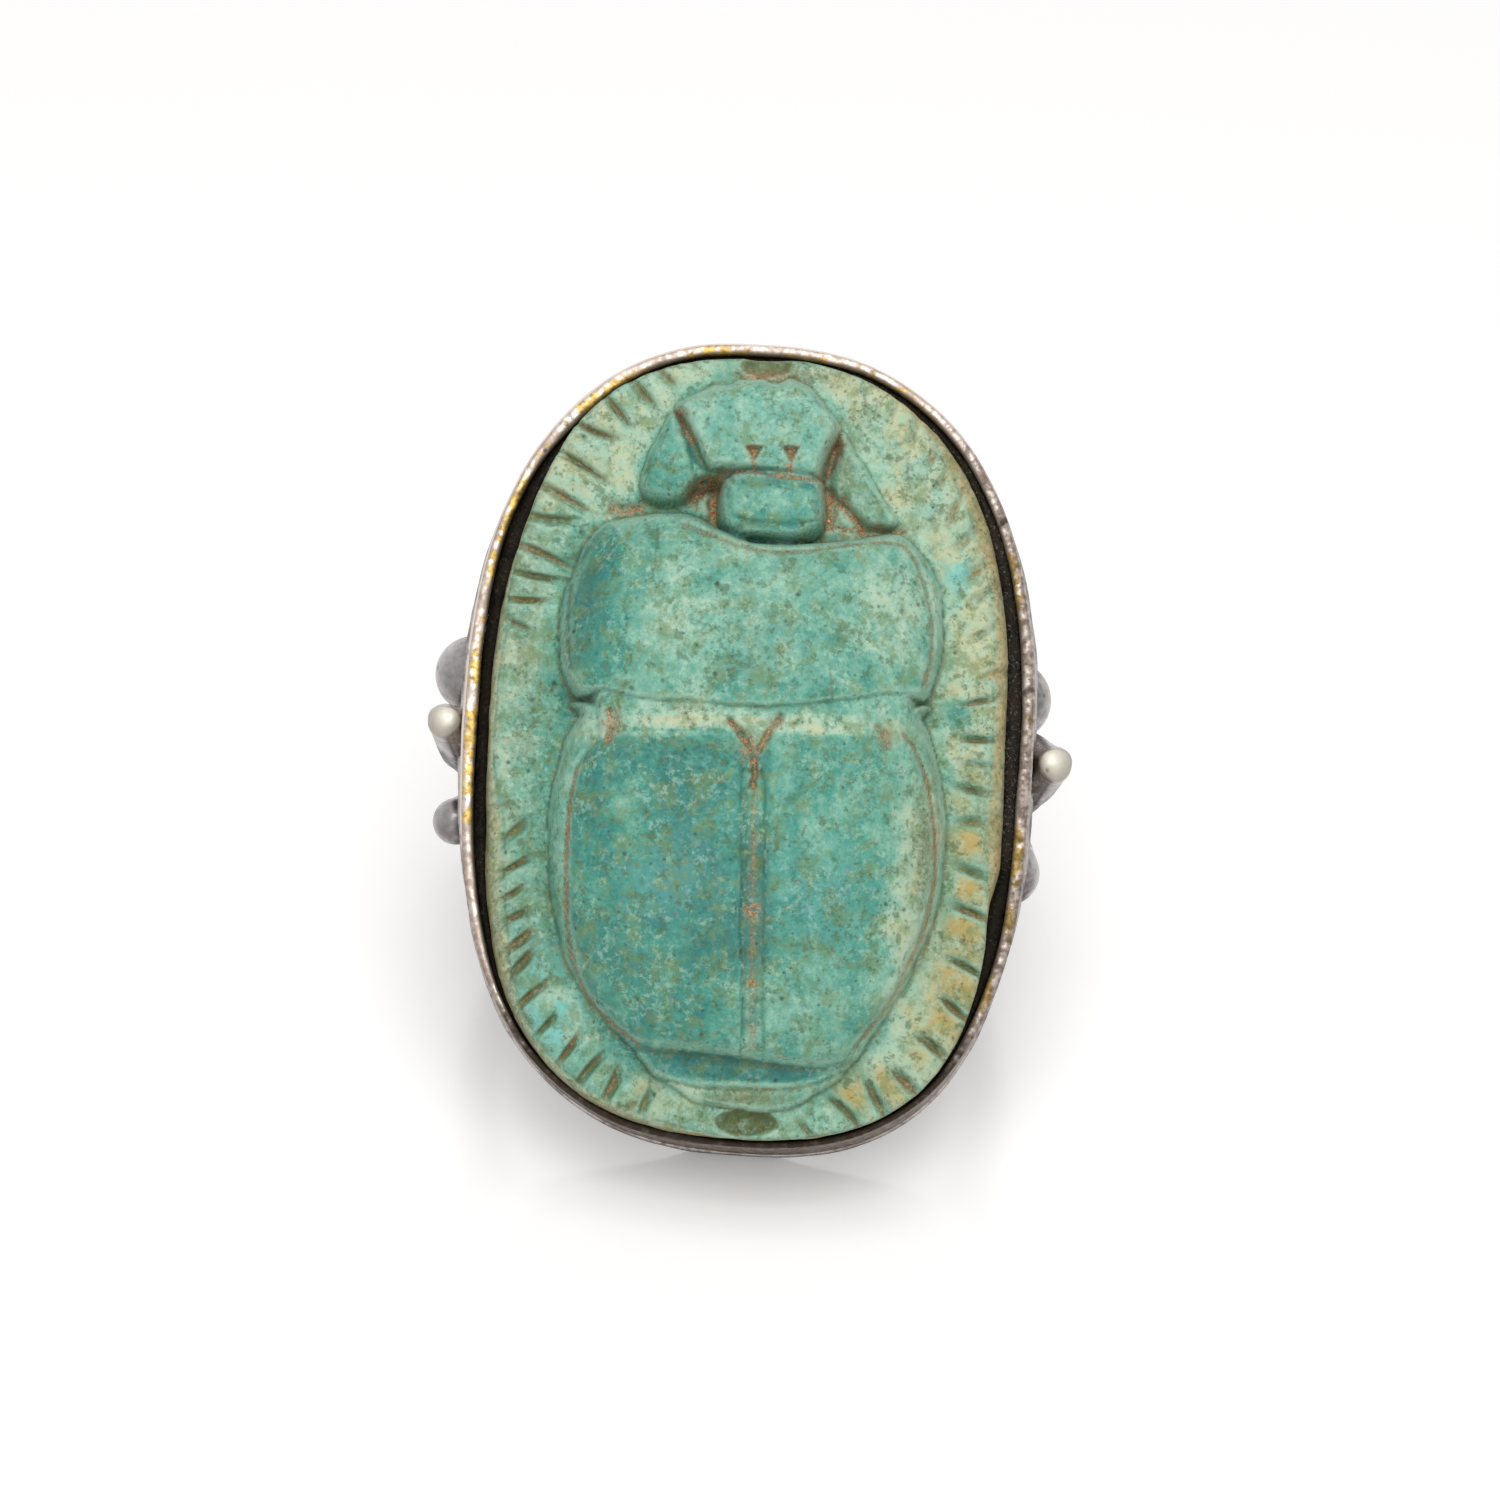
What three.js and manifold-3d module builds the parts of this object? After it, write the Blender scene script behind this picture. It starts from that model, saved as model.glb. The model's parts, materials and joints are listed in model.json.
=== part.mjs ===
// A scarab ring: a carved and glazed scarab, bedded in pitch in a silver-gilt box bezel, on a
// hoop whose shoulders each carry a tapered bud between two rounded petals.
//
// Lengths are in millimetres. In the ring's own frame X runs across the finger, Y along the
// finger towards the beetle's head, and Z out of the face, from the centre of the finger hole.
// The finished ring leans back on the tail end of its bezel and the edge of its hoop, as it
// stands on a table: there Z is up and the origin is under the middle of the ring.

import * as THREE from "three";
import { mergeVertices } from "three/addons/utils/BufferGeometryUtils.js";
import Module from "manifold-3d";

const wasm = await Module();
wasm.setup();

// Driving sizes

const seam = 0.05; // line of solder or cement between two pieces that touch
const overrun = 0.6; // how far a cutting tool passes the surface that it cuts

const hole = {
  radius: 8.5, // half the finger's size
  flatDrop: 0.7, // how far the plate flattens the top of the hole
};

const hoop = {
  thickness: 1.5,
  width: 4.0,
  domeRise: 0.65, // how far the back swells past its flat sides
  seamHeight: 3.5, // where hoop and shoulders are soldered, above the hole's centre
};

const stand = {
  wear: 0.06, // how deep the flats are that tables have worn where the ring stands
};

const shoulder = {
  topWidth: 7.4, // where the fan meets the plate
  topInset: 0.42, // how far its crown stays inside the edge of the plate
  flare: 3.2, // pull of the fan's edge outwards as it nears the plate
};

const bezel = {
  rimHalfWidth: 9.55,
  rimHalfLength: 13.5,
  headPower: 2.44, // superellipse powers of the outline's two halves
  tailPower: 2.61,
  wallThickness: 0.48,
  wallHeight: 4.35,
  wallFlare: 0.3, // how far the wall leans out from rim to plate
  rimRound: 0.12,
  plateThickness: 0.8,
};

const pitch = {
  floor: 1.1, // under the scarab
  belowRim: 1.1, // how far its surface lies under the rim, in the gap round the scarab
};

const plinth = {
  sideGap: 0.58, // to the wall, at the rim
  endGap: 0.22,
  height: 4.05,
  draft: 0.22, // how far the sides lean in from foot to top edge
  headPower: 2.59,
  tailPower: 2.95,
  edgeRound: 0.15,
};

const border = {
  sideWidth: 1.92, // from the plinth's edge to the beetle, at the sides
  endWidth: 0.5, // the same at head and tail
  rise: 0.25, // how far it climbs towards the beetle
  notchLength: 1.5, // of the longest notches; the rest are the same wedge, smaller
  notchHalfWidth: 0.4,
  notchDepth: 0.42,
};

const beetle = {
  turn: THREE.MathUtils.degToRad(1.8), // it was carved a little askew on its plinth
  shift: 0.18, // of its middle line to the right
  rise: 3.4, // of the wing cases' crown over the border
  edgeRise: 0.5, // the least that shield and wing cases stand over the border
  shieldStep: 0.22, // how far the shield stands over the wing cases
  panelStep: 0.24, // how far the wing cases' two panels stand over their margin
  lineDepth: 0.16, // of the line along the shield's front and right edges
  lineWidth: 0.2,
};

const head = {
  reach: 3.35, // from the neck's middle to the toothed front edge
  toothDepth: 0.12,
  rise: 1.95,
  cheekDrop: 0.45, // how far the cheeks lie under the head's crown
  collarHalfWidth: 1.8,
  collarHalfLength: 0.94,
  collarRise: 2.35,
  neckHalfLength: 1.3, // of the floor that joins head, collar and shield
  neckRise: 1.1,
  markWidth: 0.85, // the two wedge-shaped marks between the eyes
  markLength: 0.7,
  markDepth: 0.4,
};

const tail = {
  halfWidth: 3.2,
  upperLength: 0.7, // how far a ledge sticks out past the wing cases
  upperRise: 0.82, // over the border
  lowerLength: 1.35,
  lowerRise: 0.42,
};

const threadHole = {
  radius: 0.95, // drilled from head to tail
  belowEdge: 0.4, // its axis, under the plinth's top edge
};

// The ornament of the two shoulders, which were finished by hand and differ a little. Each
// place is measured along the finger from the hoop's middle.
const ornaments = {
  left: {
    bud: {
      place: 0.3,
      rootPlace: -0.35,
      halfWidth: 1.1,
      tipHalfWidth: 0.52,
      reach: 1.05,
      belowRim: 1.5,
    },
    upper_petal: {
      place: 3.3,
      radius: 1.24,
      reach: 0.95,
      belowPlate: 1.4,
    },
    lower_petal: {
      place: -2.15,
      radius: 0.8,
      reach: 0.8,
      belowPlate: 1.0,
    },
  },
  right: {
    bud: {
      place: 0.1,
      rootPlace: 0,
      halfWidth: 1.45,
      tipHalfWidth: 0.7,
      reach: 1.3,
      belowRim: 2.0,
    },
    upper_petal: {
      place: 3.15,
      radius: 1.4,
      reach: 0.6,
      belowPlate: 1.5,
    },
    lower_petal: {
      place: -2.8,
      radius: 1.1,
      reach: 0.35,
      belowPlate: 1.3,
    },
  },
};

const bud = {
  rootBelowPlate: 2.3,
  rootInset: 0.55, // how far its root lies inside the edge of the plate
  rootHalfDepth: 0.95, // half its thickness off the shoulder
  tipHalfDepth: 0.5,
  calyxShare: 0.3, // of its length, over which its root rounds off
};

const petal = {
  footRadius: 0.3,
  footPlace: 0.75, // from the hoop's middle, where both petals start
  footAboveSeam: 0.3,
};

// Counts of facets
const sides = { oval: 96, outline: 64, hoop: 72, pad: 32, drill: 16, bud: 16, petal: 16 };
const steps = { dome: 7, shoulder: 8, swell: 6, bud: 8, petalFoot: 2, petalHead: 7, line: 20 };

// The scarab's carving, as shares of the beetle's two half sizes, and powers of its curves

const crown = {
  halfWidthShare: 1.08,
  halfLengthShare: 0.85,
  placeShare: -0.12, // of its middle, along the beetle
  headPower: 2.9,
  tailPower: 2.5,
  fall: 2.4, // its height is rise (1 - r^fall)^round
  round: 0.6,
};

const wingShares = [
  [-0.868, 0.13],
  [-0.912, 0.075],
  [-0.968, -0.011],
  [-1.02, -0.137],
  [-1.032, -0.265],
  [-1.014, -0.413],
  [-0.967, -0.539],
  [-0.883, -0.634],
  [-0.764, -0.717],
  [-0.651, -0.791],
  [-0.551, -0.833],
  [-0.289, -0.836],
  [-0.091, -0.85],
  [0.143, -0.869],
  [0.321, -0.875],
  [0.457, -0.87],
  [0.54, -0.846],
  [0.601, -0.802],
  [0.732, -0.685],
  [0.83, -0.589],
  [0.916, -0.483],
  [0.962, -0.376],
  [0.983, -0.25],
  [0.965, -0.123],
  [0.924, -0.017],
  [0.861, 0.088],
  [0.807, 0.13],
];
const wingTipShare = 0.875;

// The channel between the two panels widens to a fork at its top.
const leftPanelShares = [
  [-0.807, -0.016],
  [-0.746, 0.008],
  [-0.654, 0.027],
  [-0.114, 0.026],
  [-0.061, -0.002],
  [-0.04, -0.06],
  [-0.05, -0.122],
  [-0.046, -0.325],
  [-0.043, -0.569],
  [-0.045, -0.8],
  [-0.107, -0.835],
  [-0.54, -0.815],
  [-0.752, -0.716],
  [-0.863, -0.634],
  [-0.916, -0.53],
  [-0.935, -0.412],
  [-0.935, -0.275],
  [-0.916, -0.154],
  [-0.883, -0.073],
];

const rightPanelShares = [
  [0.114, 0.028],
  [0.639, 0.034],
  [0.738, 0.024],
  [0.807, -0.008],
  [0.868, -0.081],
  [0.909, -0.208],
  [0.921, -0.335],
  [0.875, -0.472],
  [0.808, -0.568],
  [0.694, -0.69],
  [0.525, -0.805],
  [0.441, -0.855],
  [0.107, -0.85],
  [0.07, -0.815],
  [0.061, -0.569],
  [0.058, -0.325],
  [0.055, -0.13],
  [0.045, -0.06],
  [0.061, -0.002],
];

// The shield, or pronotum: its front edge dips round the neck and its back edge bulges.
const shieldShares = [
  [-0.776, 0.596],
  [-0.677, 0.618],
  [-0.478, 0.633],
  [-0.327, 0.628],
  [-0.175, 0.585],
  [-0.024, 0.559],
  [0.177, 0.545],
  [0.376, 0.554],
  [0.575, 0.572],
  [0.726, 0.578],
  [0.802, 0.554],
  [0.878, 0.515],
  [0.941, 0.435],
  [0.957, 0.328],
  [0.95, 0.248],
  [0.912, 0.167],
  [0.848, 0.119],
  [0.638, 0.107],
  [0.438, 0.089],
  [0.189, 0.071],
  [-0.062, 0.067],
  [-0.312, 0.076],
  [-0.563, 0.092],
  [-0.764, 0.115],
  [-0.889, 0.122],
  [-0.967, 0.193],
  [-0.989, 0.287],
  [-0.971, 0.394],
  [-0.924, 0.461],
  [-0.86, 0.542],
];

const shieldLineShares = [
  [-0.365, 0.585],
  [-0.251, 0.563],
  [-0.135, 0.538],
  [0.018, 0.515],
  [0.172, 0.51],
  [0.364, 0.524],
  [0.516, 0.54],
  [0.688, 0.546],
  [0.776, 0.524],
  [0.845, 0.448],
  [0.89, 0.346],
  [0.889, 0.233],
  [0.852, 0.163],
];

const neckShare = 0.725; // where the head's fan starts, along the beetle

// The head, as shares of its own reach from the neck to its front.
const headFan = {
  leftShare: -0.52, // its back corners
  rightShare: 0.62,
  from: THREE.MathUtils.degToRad(32), // its toothed front edge, counted from the right
  to: THREE.MathUtils.degToRad(140),
  teeth: 6,
  perTooth: 4, // facets
};

const headCrown = {
  halfWidthShare: 1.5,
  halfLengthShare: 1.3,
  headPower: 2,
  tailPower: 2,
  fall: 2.4,
  round: 0.6,
};

const headMarks = {
  placeShare: 0.3, // of their wide ends, from the neck
  leftShare: -0.02,
  rightShare: 0.31,
};

const leftCheekShares = [
  [-0.425, 0.911],
  [-0.495, 0.858],
  [-0.563, 0.78],
  [-0.594, 0.724],
  [-0.586, 0.683],
  [-0.533, 0.654],
  [-0.452, 0.646],
  [-0.365, 0.654],
  [-0.307, 0.687],
  [-0.282, 0.728],
  [-0.301, 0.78],
  [-0.35, 0.846],
];

const rightCheekShares = [
  [0.428, 0.859],
  [0.502, 0.805],
  [0.578, 0.74],
  [0.654, 0.675],
  [0.723, 0.618],
  [0.685, 0.598],
  [0.563, 0.598],
  [0.487, 0.638],
  [0.419, 0.675],
  [0.373, 0.72],
  [0.396, 0.78],
];

const collar = {
  acrossShare: 0.08, // of its middle
  alongShare: 0.648,
  headPower: 3.4,
  tailPower: 3,
  fall: 4,
  round: 0.5,
};

const ledge = { headPower: 2.6, tailPower: 2.6 };

// The border's notches: where each meets the plinth's edge, as degrees of turn counted from the
// right, counter-clockwise; how far it is skewed off the way inwards; its share of full size.
const notches = [
  { turn: 4.2, skew: 0, sizeShare: 0.9 },
  { turn: 13.6, skew: 7, sizeShare: 0.87 },
  { turn: 28.4, skew: 29, sizeShare: 0.67 },
  { turn: 35.7, skew: 31, sizeShare: 0.63 },
  { turn: 40.1, skew: 22, sizeShare: 0.7 },
  { turn: 46.2, skew: 29, sizeShare: 0.8 },
  { turn: 52.1, skew: 33, sizeShare: 0.8 },
  { turn: 56.8, skew: 27, sizeShare: 0.73 },
  { turn: 60.3, skew: 25, sizeShare: 0.67 },
  { turn: 65.1, skew: 16, sizeShare: 0.8 },
  { turn: 69.5, skew: 11, sizeShare: 0.63 },
  { turn: 74.7, skew: 8, sizeShare: 0.47 },
  { turn: 79.1, skew: 1, sizeShare: 0.4 },
  { turn: 101.2, skew: 40, sizeShare: 0.33 },
  { turn: 105.9, skew: 22, sizeShare: 0.67 },
  { turn: 110.1, skew: 12, sizeShare: 0.73 },
  { turn: 114.7, skew: 7, sizeShare: 0.73 },
  { turn: 120.2, skew: 12, sizeShare: 0.73 },
  { turn: 125.1, skew: 6, sizeShare: 1 },
  { turn: 130.7, skew: -2, sizeShare: 0.93 },
  { turn: 135.8, skew: 7, sizeShare: 0.73 },
  { turn: 141, skew: 0, sizeShare: 0.93 },
  { turn: 145.6, skew: -1, sizeShare: 1 },
  { turn: 150.7, skew: 3, sizeShare: 0.73 },
  { turn: 154.9, skew: -11, sizeShare: 0.53 },
  { turn: 196.4, skew: 15, sizeShare: 0.33 },
  { turn: 203.6, skew: 39, sizeShare: 0.73 },
  { turn: 209.9, skew: 29, sizeShare: 0.77 },
  { turn: 214.6, skew: 23, sizeShare: 0.57 },
  { turn: 218.5, skew: 20, sizeShare: 0.6 },
  { turn: 222.9, skew: 24, sizeShare: 0.8 },
  { turn: 226.5, skew: 26, sizeShare: 0.77 },
  { turn: 231.3, skew: 23, sizeShare: 0.93 },
  { turn: 236.5, skew: 14, sizeShare: 0.73 },
  { turn: 241.8, skew: 9, sizeShare: 1 },
  { turn: 246.1, skew: 3, sizeShare: 1 },
  { turn: 250.7, skew: -5, sizeShare: 0.87 },
  { turn: 256.5, skew: -7, sizeShare: 0.67 },
  { turn: 282.2, skew: 38, sizeShare: 0.57 },
  { turn: 289, skew: 17, sizeShare: 1 },
  { turn: 293.2, skew: 5, sizeShare: 1 },
  { turn: 298.7, skew: 2, sizeShare: 1 },
  { turn: 305.1, skew: -12, sizeShare: 1 },
  { turn: 311.4, skew: -12, sizeShare: 0.93 },
  { turn: 318.1, skew: -16, sizeShare: 0.93 },
  { turn: 326.9, skew: -13, sizeShare: 0.93 },
  { turn: 334.2, skew: -8, sizeShare: 0.87 },
  { turn: 344.8, skew: -5, sizeShare: 0.73 },
  { turn: 351.5, skew: -9, sizeShare: 0.93 },
  { turn: 358, skew: -4, sizeShare: 0.8 },
];

// Heights and sizes that follow from the driving ones

const hoopRadius = hole.radius + hoop.thickness;
const landRadius = hoopRadius - hoop.domeRise; // outer edge of the hoop's flat sides
const plateUnderside = hole.radius - hole.flatDrop;
const plateTop = plateUnderside + bezel.plateThickness;
const wallFoot = plateTop + seam;
const rimHeight = wallFoot + bezel.wallHeight;
const pitchTop = rimHeight - pitch.belowRim;
const scarabFoot = wallFoot + pitch.floor + seam;
const plinthTop = scarabFoot + plinth.height;
const borderTop = plinthTop + border.rise;
const plinthHalfWidth = bezel.rimHalfWidth - bezel.wallThickness - plinth.sideGap;
const plinthHalfLength = bezel.rimHalfLength - bezel.wallThickness - plinth.endGap;
const beetleHalfWidth = plinthHalfWidth - border.sideWidth;
const beetleHalfLength = plinthHalfLength - border.endWidth;

// Surfaces

// A closed skin over loops of equal point counts, each counter-clockwise seen from its end.
// A fan closes the first and last loop, or the last loop joins the first in a ringed skin.
function skin(loops, ringed = false) {
  const count = loops[0].length;
  const points = loops.flat();
  const faces = [];
  const rows = ringed ? loops.length : loops.length - 1;
  for (let row = 0; row < rows; row++) {
    const near = row * count;
    const far = ((row + 1) % loops.length) * count;
    for (let i = 0; i < count; i++) {
      const j = (i + 1) % count;
      faces.push(near + i, near + j, far + j, near + i, far + j, far + i);
    }
  }
  if (!ringed) {
    const last = (loops.length - 1) * count;
    points.push(middle(loops[0]), middle(loops.at(-1)));
    for (let i = 0; i < count; i++) {
      const j = (i + 1) % count;
      faces.push(points.length - 2, j, i);
      faces.push(points.length - 1, last + i, last + j);
    }
  }
  return new THREE.BufferGeometry().setFromPoints(points).setIndex(faces);
}

function middle(loop) {
  const sum = loop.reduce((total, point) => total.add(point), new THREE.Vector3());
  return sum.divideScalar(loop.length);
}

// A geometry as a solid that can be joined and cut.
function solid(geometry) {
  const bare = geometry.clone();
  bare.deleteAttribute("normal");
  bare.deleteAttribute("uv");
  const merged = mergeVertices(bare);
  return new wasm.Manifold(
    new wasm.Mesh({
      numProp: 3,
      vertProperties: new Float32Array(merged.attributes.position.array),
      triVerts: new Uint32Array(merged.index.array),
    }),
  );
}

function geometryOf(made) {
  const mesh = made.getMesh();
  return new THREE.BufferGeometry()
    .setAttribute("position", new THREE.BufferAttribute(mesh.vertProperties, 3))
    .setIndex(new THREE.BufferAttribute(mesh.triVerts, 1));
}

// An oval |x/a|^n + |y/b|^n = 1, with one power n for each end: its point at an angle.
function ovalPoint(form, angle, height) {
  const x = Math.cos(angle);
  const y = Math.sin(angle);
  const power = y > 0 ? form.headPower : form.tailPower;
  const across = Math.abs(x / form.halfWidth) ** power;
  const along = Math.abs(y / form.halfLength) ** power;
  const reach = (across + along) ** (-1 / power);
  return new THREE.Vector3(reach * x, reach * y, height);
}

// The way out of an oval, square to its line, at one of its points.
function ovalNormal(form, { x, y }) {
  const power = y > 0 ? form.headPower : form.tailPower;
  const across = Math.abs(x / form.halfWidth) ** (power - 1) / form.halfWidth;
  const along = Math.abs(y / form.halfLength) ** (power - 1) / form.halfLength;
  return new THREE.Vector2(Math.sign(x) * across, Math.sign(y) * along);
}

// An oval loop at a height. Its points are spread evenly by angle, with a facet square to each
// axis.
function oval(form, height, grow = 0, count = sides.oval) {
  const grown = {
    ...form,
    halfWidth: form.halfWidth + grow,
    halfLength: form.halfLength + grow,
  };
  return Array.from({ length: count }, (_, i) =>
    ovalPoint(grown, ((i + 0.5) / count) * 2 * Math.PI, height),
  );
}

// A dome over an oval, from a base up: its height over the foot is rise (1 - r^fall)^round,
// where r is the share of the way out from the middle.
function dome(form, base, foot, rise, count = sides.outline) {
  const loops = [oval(form, base, 0, count)];
  for (let step = 0; step < steps.dome; step++) {
    const r = Math.cos((step / steps.dome) * (Math.PI / 2));
    const scaled = {
      ...form,
      halfWidth: form.halfWidth * r,
      halfLength: form.halfLength * r,
    };
    loops.push(oval(scaled, foot + rise * (1 - r ** form.fall) ** form.round, 0, count));
  }
  return skin(loops);
}

// A straight block of an outline, between two heights.
function stamp(outline, low, high) {
  const depth = high - low;
  const block = new THREE.ExtrudeGeometry(new THREE.Shape(outline), { depth, bevelEnabled: false });
  return block.translate(0, 0, low);
}

// A smooth line through points given as shares of the beetle's half sizes.
function carvedLine(shares, closed, count) {
  const points = shares.map(
    ([x, y]) => new THREE.Vector3(x * beetleHalfWidth, y * beetleHalfLength, 0),
  );
  const curve = new THREE.CatmullRomCurve3(points, closed, "centripetal");
  return curve.getSpacedPoints(count).map((point) => new THREE.Vector2(point.x, point.y));
}

function carvedOutline(shares, count = sides.outline) {
  return carvedLine(shares, true, count).slice(1);
}

// The outline of a strip of even width along a carved line.
function carvedStrip(shares, width) {
  const line = carvedLine(shares, false, steps.line);
  const edge = (offset) =>
    line.map((point, i) => {
      const before = line[Math.max(i - 1, 0)];
      const after = line[Math.min(i + 1, line.length - 1)];
      const along = after.clone().sub(before).normalize();
      return new THREE.Vector2(point.x - offset * along.y, point.y + offset * along.x);
    });
  return [...edge(width / 2), ...edge(-width / 2).reverse()];
}

// A value that leaves one end with a given slope and arrives at the other with a given slope.
function eased(from, fromSlope, to, toSlope, t) {
  const rest = 1 - t;
  return (
    from * rest * rest * (1 + 2 * t) +
    fromSlope * rest * rest * t +
    to * t * t * (3 - 2 * t) -
    toSlope * t * t * rest
  );
}

// The bezel

// The outline of the box at a height, which leans out evenly from the rim to the plate.
function boxForm(height) {
  const lean = (bezel.wallFlare * (rimHeight - height)) / (rimHeight - plateUnderside);
  return {
    halfWidth: bezel.rimHalfWidth + lean,
    halfLength: bezel.rimHalfLength + lean,
    headPower: bezel.headPower,
    tailPower: bezel.tailPower,
  };
}

function bezelWall() {
  const shoulderHeight = rimHeight - bezel.rimRound;
  const inside = -bezel.wallThickness;
  return skin(
    [
      oval(boxForm(wallFoot), wallFoot),
      oval(boxForm(shoulderHeight), shoulderHeight),
      oval(boxForm(rimHeight), rimHeight, -bezel.rimRound),
      oval(boxForm(rimHeight), rimHeight, inside + bezel.rimRound),
      oval(boxForm(shoulderHeight), shoulderHeight, inside),
      oval(boxForm(wallFoot), wallFoot, inside),
    ],
    true,
  );
}

function bezelPlate() {
  return skin([
    oval(boxForm(plateUnderside), plateUnderside),
    oval(boxForm(plateTop), plateTop),
  ]);
}

// The space of the whole box and a seam round it, which the shoulders' ornament keeps clear of.
function boxSpace() {
  const low = plateUnderside - seam;
  return skin([oval(boxForm(low), low, seam), oval(boxForm(rimHeight), rimHeight, seam)]);
}

// The pitch: a dish that fills the box, under the scarab and part of the way up round it.
function pitchBed() {
  const clear = -bezel.wallThickness - seam;
  const filling = skin([
    oval(boxForm(wallFoot), wallFoot, clear),
    oval(boxForm(pitchTop), pitchTop, clear),
  ]);
  const seat = scarabFoot - seam;
  const space = skin([oval(plinthForm(seat), seat, seam), oval(plinthForm(plinthTop), plinthTop, seam)]);
  return geometryOf(solid(filling).subtract(solid(space)));
}

// The scarab

// The plinth's outline at a height, which leans in evenly from its foot.
function plinthForm(height) {
  const lean = (plinth.draft * (plinthTop - height)) / plinth.height;
  return {
    halfWidth: plinthHalfWidth + lean,
    halfLength: plinthHalfLength,
    headPower: plinth.headPower,
    tailPower: plinth.tailPower,
  };
}

function plinthBlock() {
  const edge = plinthTop - plinth.edgeRound;
  const inner = {
    halfWidth: beetleHalfWidth,
    halfLength: beetleHalfLength,
    headPower: plinth.headPower,
    tailPower: plinth.tailPower,
  };
  return skin([
    oval(plinthForm(scarabFoot), scarabFoot),
    oval(plinthForm(edge), edge),
    oval(plinthForm(plinthTop), plinthTop, -plinth.edgeRound),
    oval(inner, borderTop),
  ]);
}

// A wedge that cuts one notch: deepest at the plinth's edge, it runs out towards the beetle.
function notchWedge({ turn, skew, sizeShare }) {
  const form = plinthForm(plinthTop);
  const edge = ovalPoint(form, THREE.MathUtils.degToRad(turn), plinthTop);
  const heading = ovalNormal(form, edge).angle() + THREE.MathUtils.degToRad(skew);
  const halfWidth = sizeShare * border.notchHalfWidth;
  const deep = sizeShare * border.notchDepth;
  const length = sizeShare * border.notchLength;
  const profile = new THREE.Shape([
    new THREE.Vector2(-halfWidth, deep),
    new THREE.Vector2(0, -deep),
    new THREE.Vector2(halfWidth, deep),
  ]);
  const depth = length + overrun;
  const wedge = new THREE.ExtrudeGeometry(profile, { depth, bevelEnabled: false });
  return wedge
    .translate(0, 0, -length)
    .rotateX(Math.PI / 2 + Math.atan2(deep + border.rise, length))
    .rotateZ(heading + Math.PI / 2)
    .translate(edge.x, edge.y, edge.z);
}

// The beetle's parts are worked out in its own frame, which is turned a little on the plinth.
function placed(geometry) {
  return solid(geometry.rotateZ(beetle.turn).translate(beetle.shift, 0, 0));
}

const beetleBase = plinthTop - overrun; // the parts reach into the plinth, which they join
const beetleTop = borderTop + beetle.rise + beetle.shieldStep + overrun; // over everything

// The crown that spans shield and wing cases, on a low step, raised or sunk by a lift.
function crownAt(lift) {
  const form = {
    ...crown,
    halfWidth: crown.halfWidthShare * beetleHalfWidth,
    halfLength: crown.halfLengthShare * beetleHalfLength,
  };
  const over = dome(form, beetleBase + lift, borderTop + lift, beetle.rise);
  const foot = skin([
    oval(plinthForm(plinthTop), beetleBase + lift),
    oval(plinthForm(plinthTop), borderTop + lift + beetle.edgeRise),
  ]);
  return placed(over.translate(0, crown.placeShare * beetleHalfLength, 0)).add(placed(foot));
}

// A piece of the beetle: an outline cut from a crown.
function carved(outline, top) {
  return placed(stamp(outline, beetleBase, beetleTop)).intersect(top);
}

// The wing cases: a margin, and a raised panel on each side of the channel down the middle.
function wingCases() {
  return carved(carvedOutline(wingShares), crownAt(-beetle.panelStep))
    .add(carved(carvedOutline(leftPanelShares), crownAt(0)))
    .add(carved(carvedOutline(rightPanelShares), crownAt(0)));
}

function shield() {
  const whole = carved(carvedOutline(shieldShares), crownAt(beetle.shieldStep));
  const line = stamp(carvedStrip(shieldLineShares, beetle.lineWidth), beetleBase, beetleTop);
  return whole.subtract(placed(line).subtract(crownAt(beetle.shieldStep - beetle.lineDepth)));
}

// The head's own crown, which slopes down to the front and sides from the neck.
function headCrownAt(lift) {
  const form = {
    ...headCrown,
    halfWidth: headCrown.halfWidthShare * head.reach,
    halfLength: headCrown.halfLengthShare * head.reach,
  };
  const over = dome(form, beetleBase + lift, borderTop + lift, head.rise);
  return placed(over.translate(0, neckShare * beetleHalfLength, 0));
}

// The head: a fan with a toothed front edge.
function headPlate() {
  const neck = neckShare * beetleHalfLength;
  const outline = [
    new THREE.Vector2(headFan.leftShare * head.reach, neck),
    new THREE.Vector2(headFan.rightShare * head.reach, neck),
  ];
  const facets = headFan.teeth * headFan.perTooth;
  for (let i = 0; i <= facets; i++) {
    const angle = THREE.MathUtils.lerp(headFan.from, headFan.to, i / facets);
    const swell = Math.abs(Math.sin((Math.PI * i) / headFan.perTooth));
    const reach = head.reach - head.toothDepth * (1 - swell);
    outline.push(new THREE.Vector2(reach * Math.cos(angle), neck + reach * Math.sin(angle)));
  }
  return carved(outline, headCrownAt(0));
}

function cheek(shares) {
  return carved(carvedOutline(shares, sides.pad), headCrownAt(-head.cheekDrop));
}

function collarPad() {
  const form = {
    ...collar,
    halfWidth: head.collarHalfWidth,
    halfLength: head.collarHalfLength,
  };
  const pad = dome(form, beetleBase, borderTop, head.collarRise, sides.pad);
  return placed(
    pad.translate(collar.acrossShare * beetleHalfWidth, collar.alongShare * beetleHalfLength, 0),
  );
}

// The floor round the collar, between head and shield.
function neckPad() {
  const form = {
    ...collar,
    halfWidth: head.collarHalfWidth,
    halfLength: head.neckHalfLength,
  };
  const top = borderTop + head.neckRise;
  const pad = skin([oval(form, beetleBase, 0, sides.pad), oval(form, top, 0, sides.pad)]);
  return placed(
    pad.translate(collar.acrossShare * beetleHalfWidth, collar.alongShare * beetleHalfLength, 0),
  );
}

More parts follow.
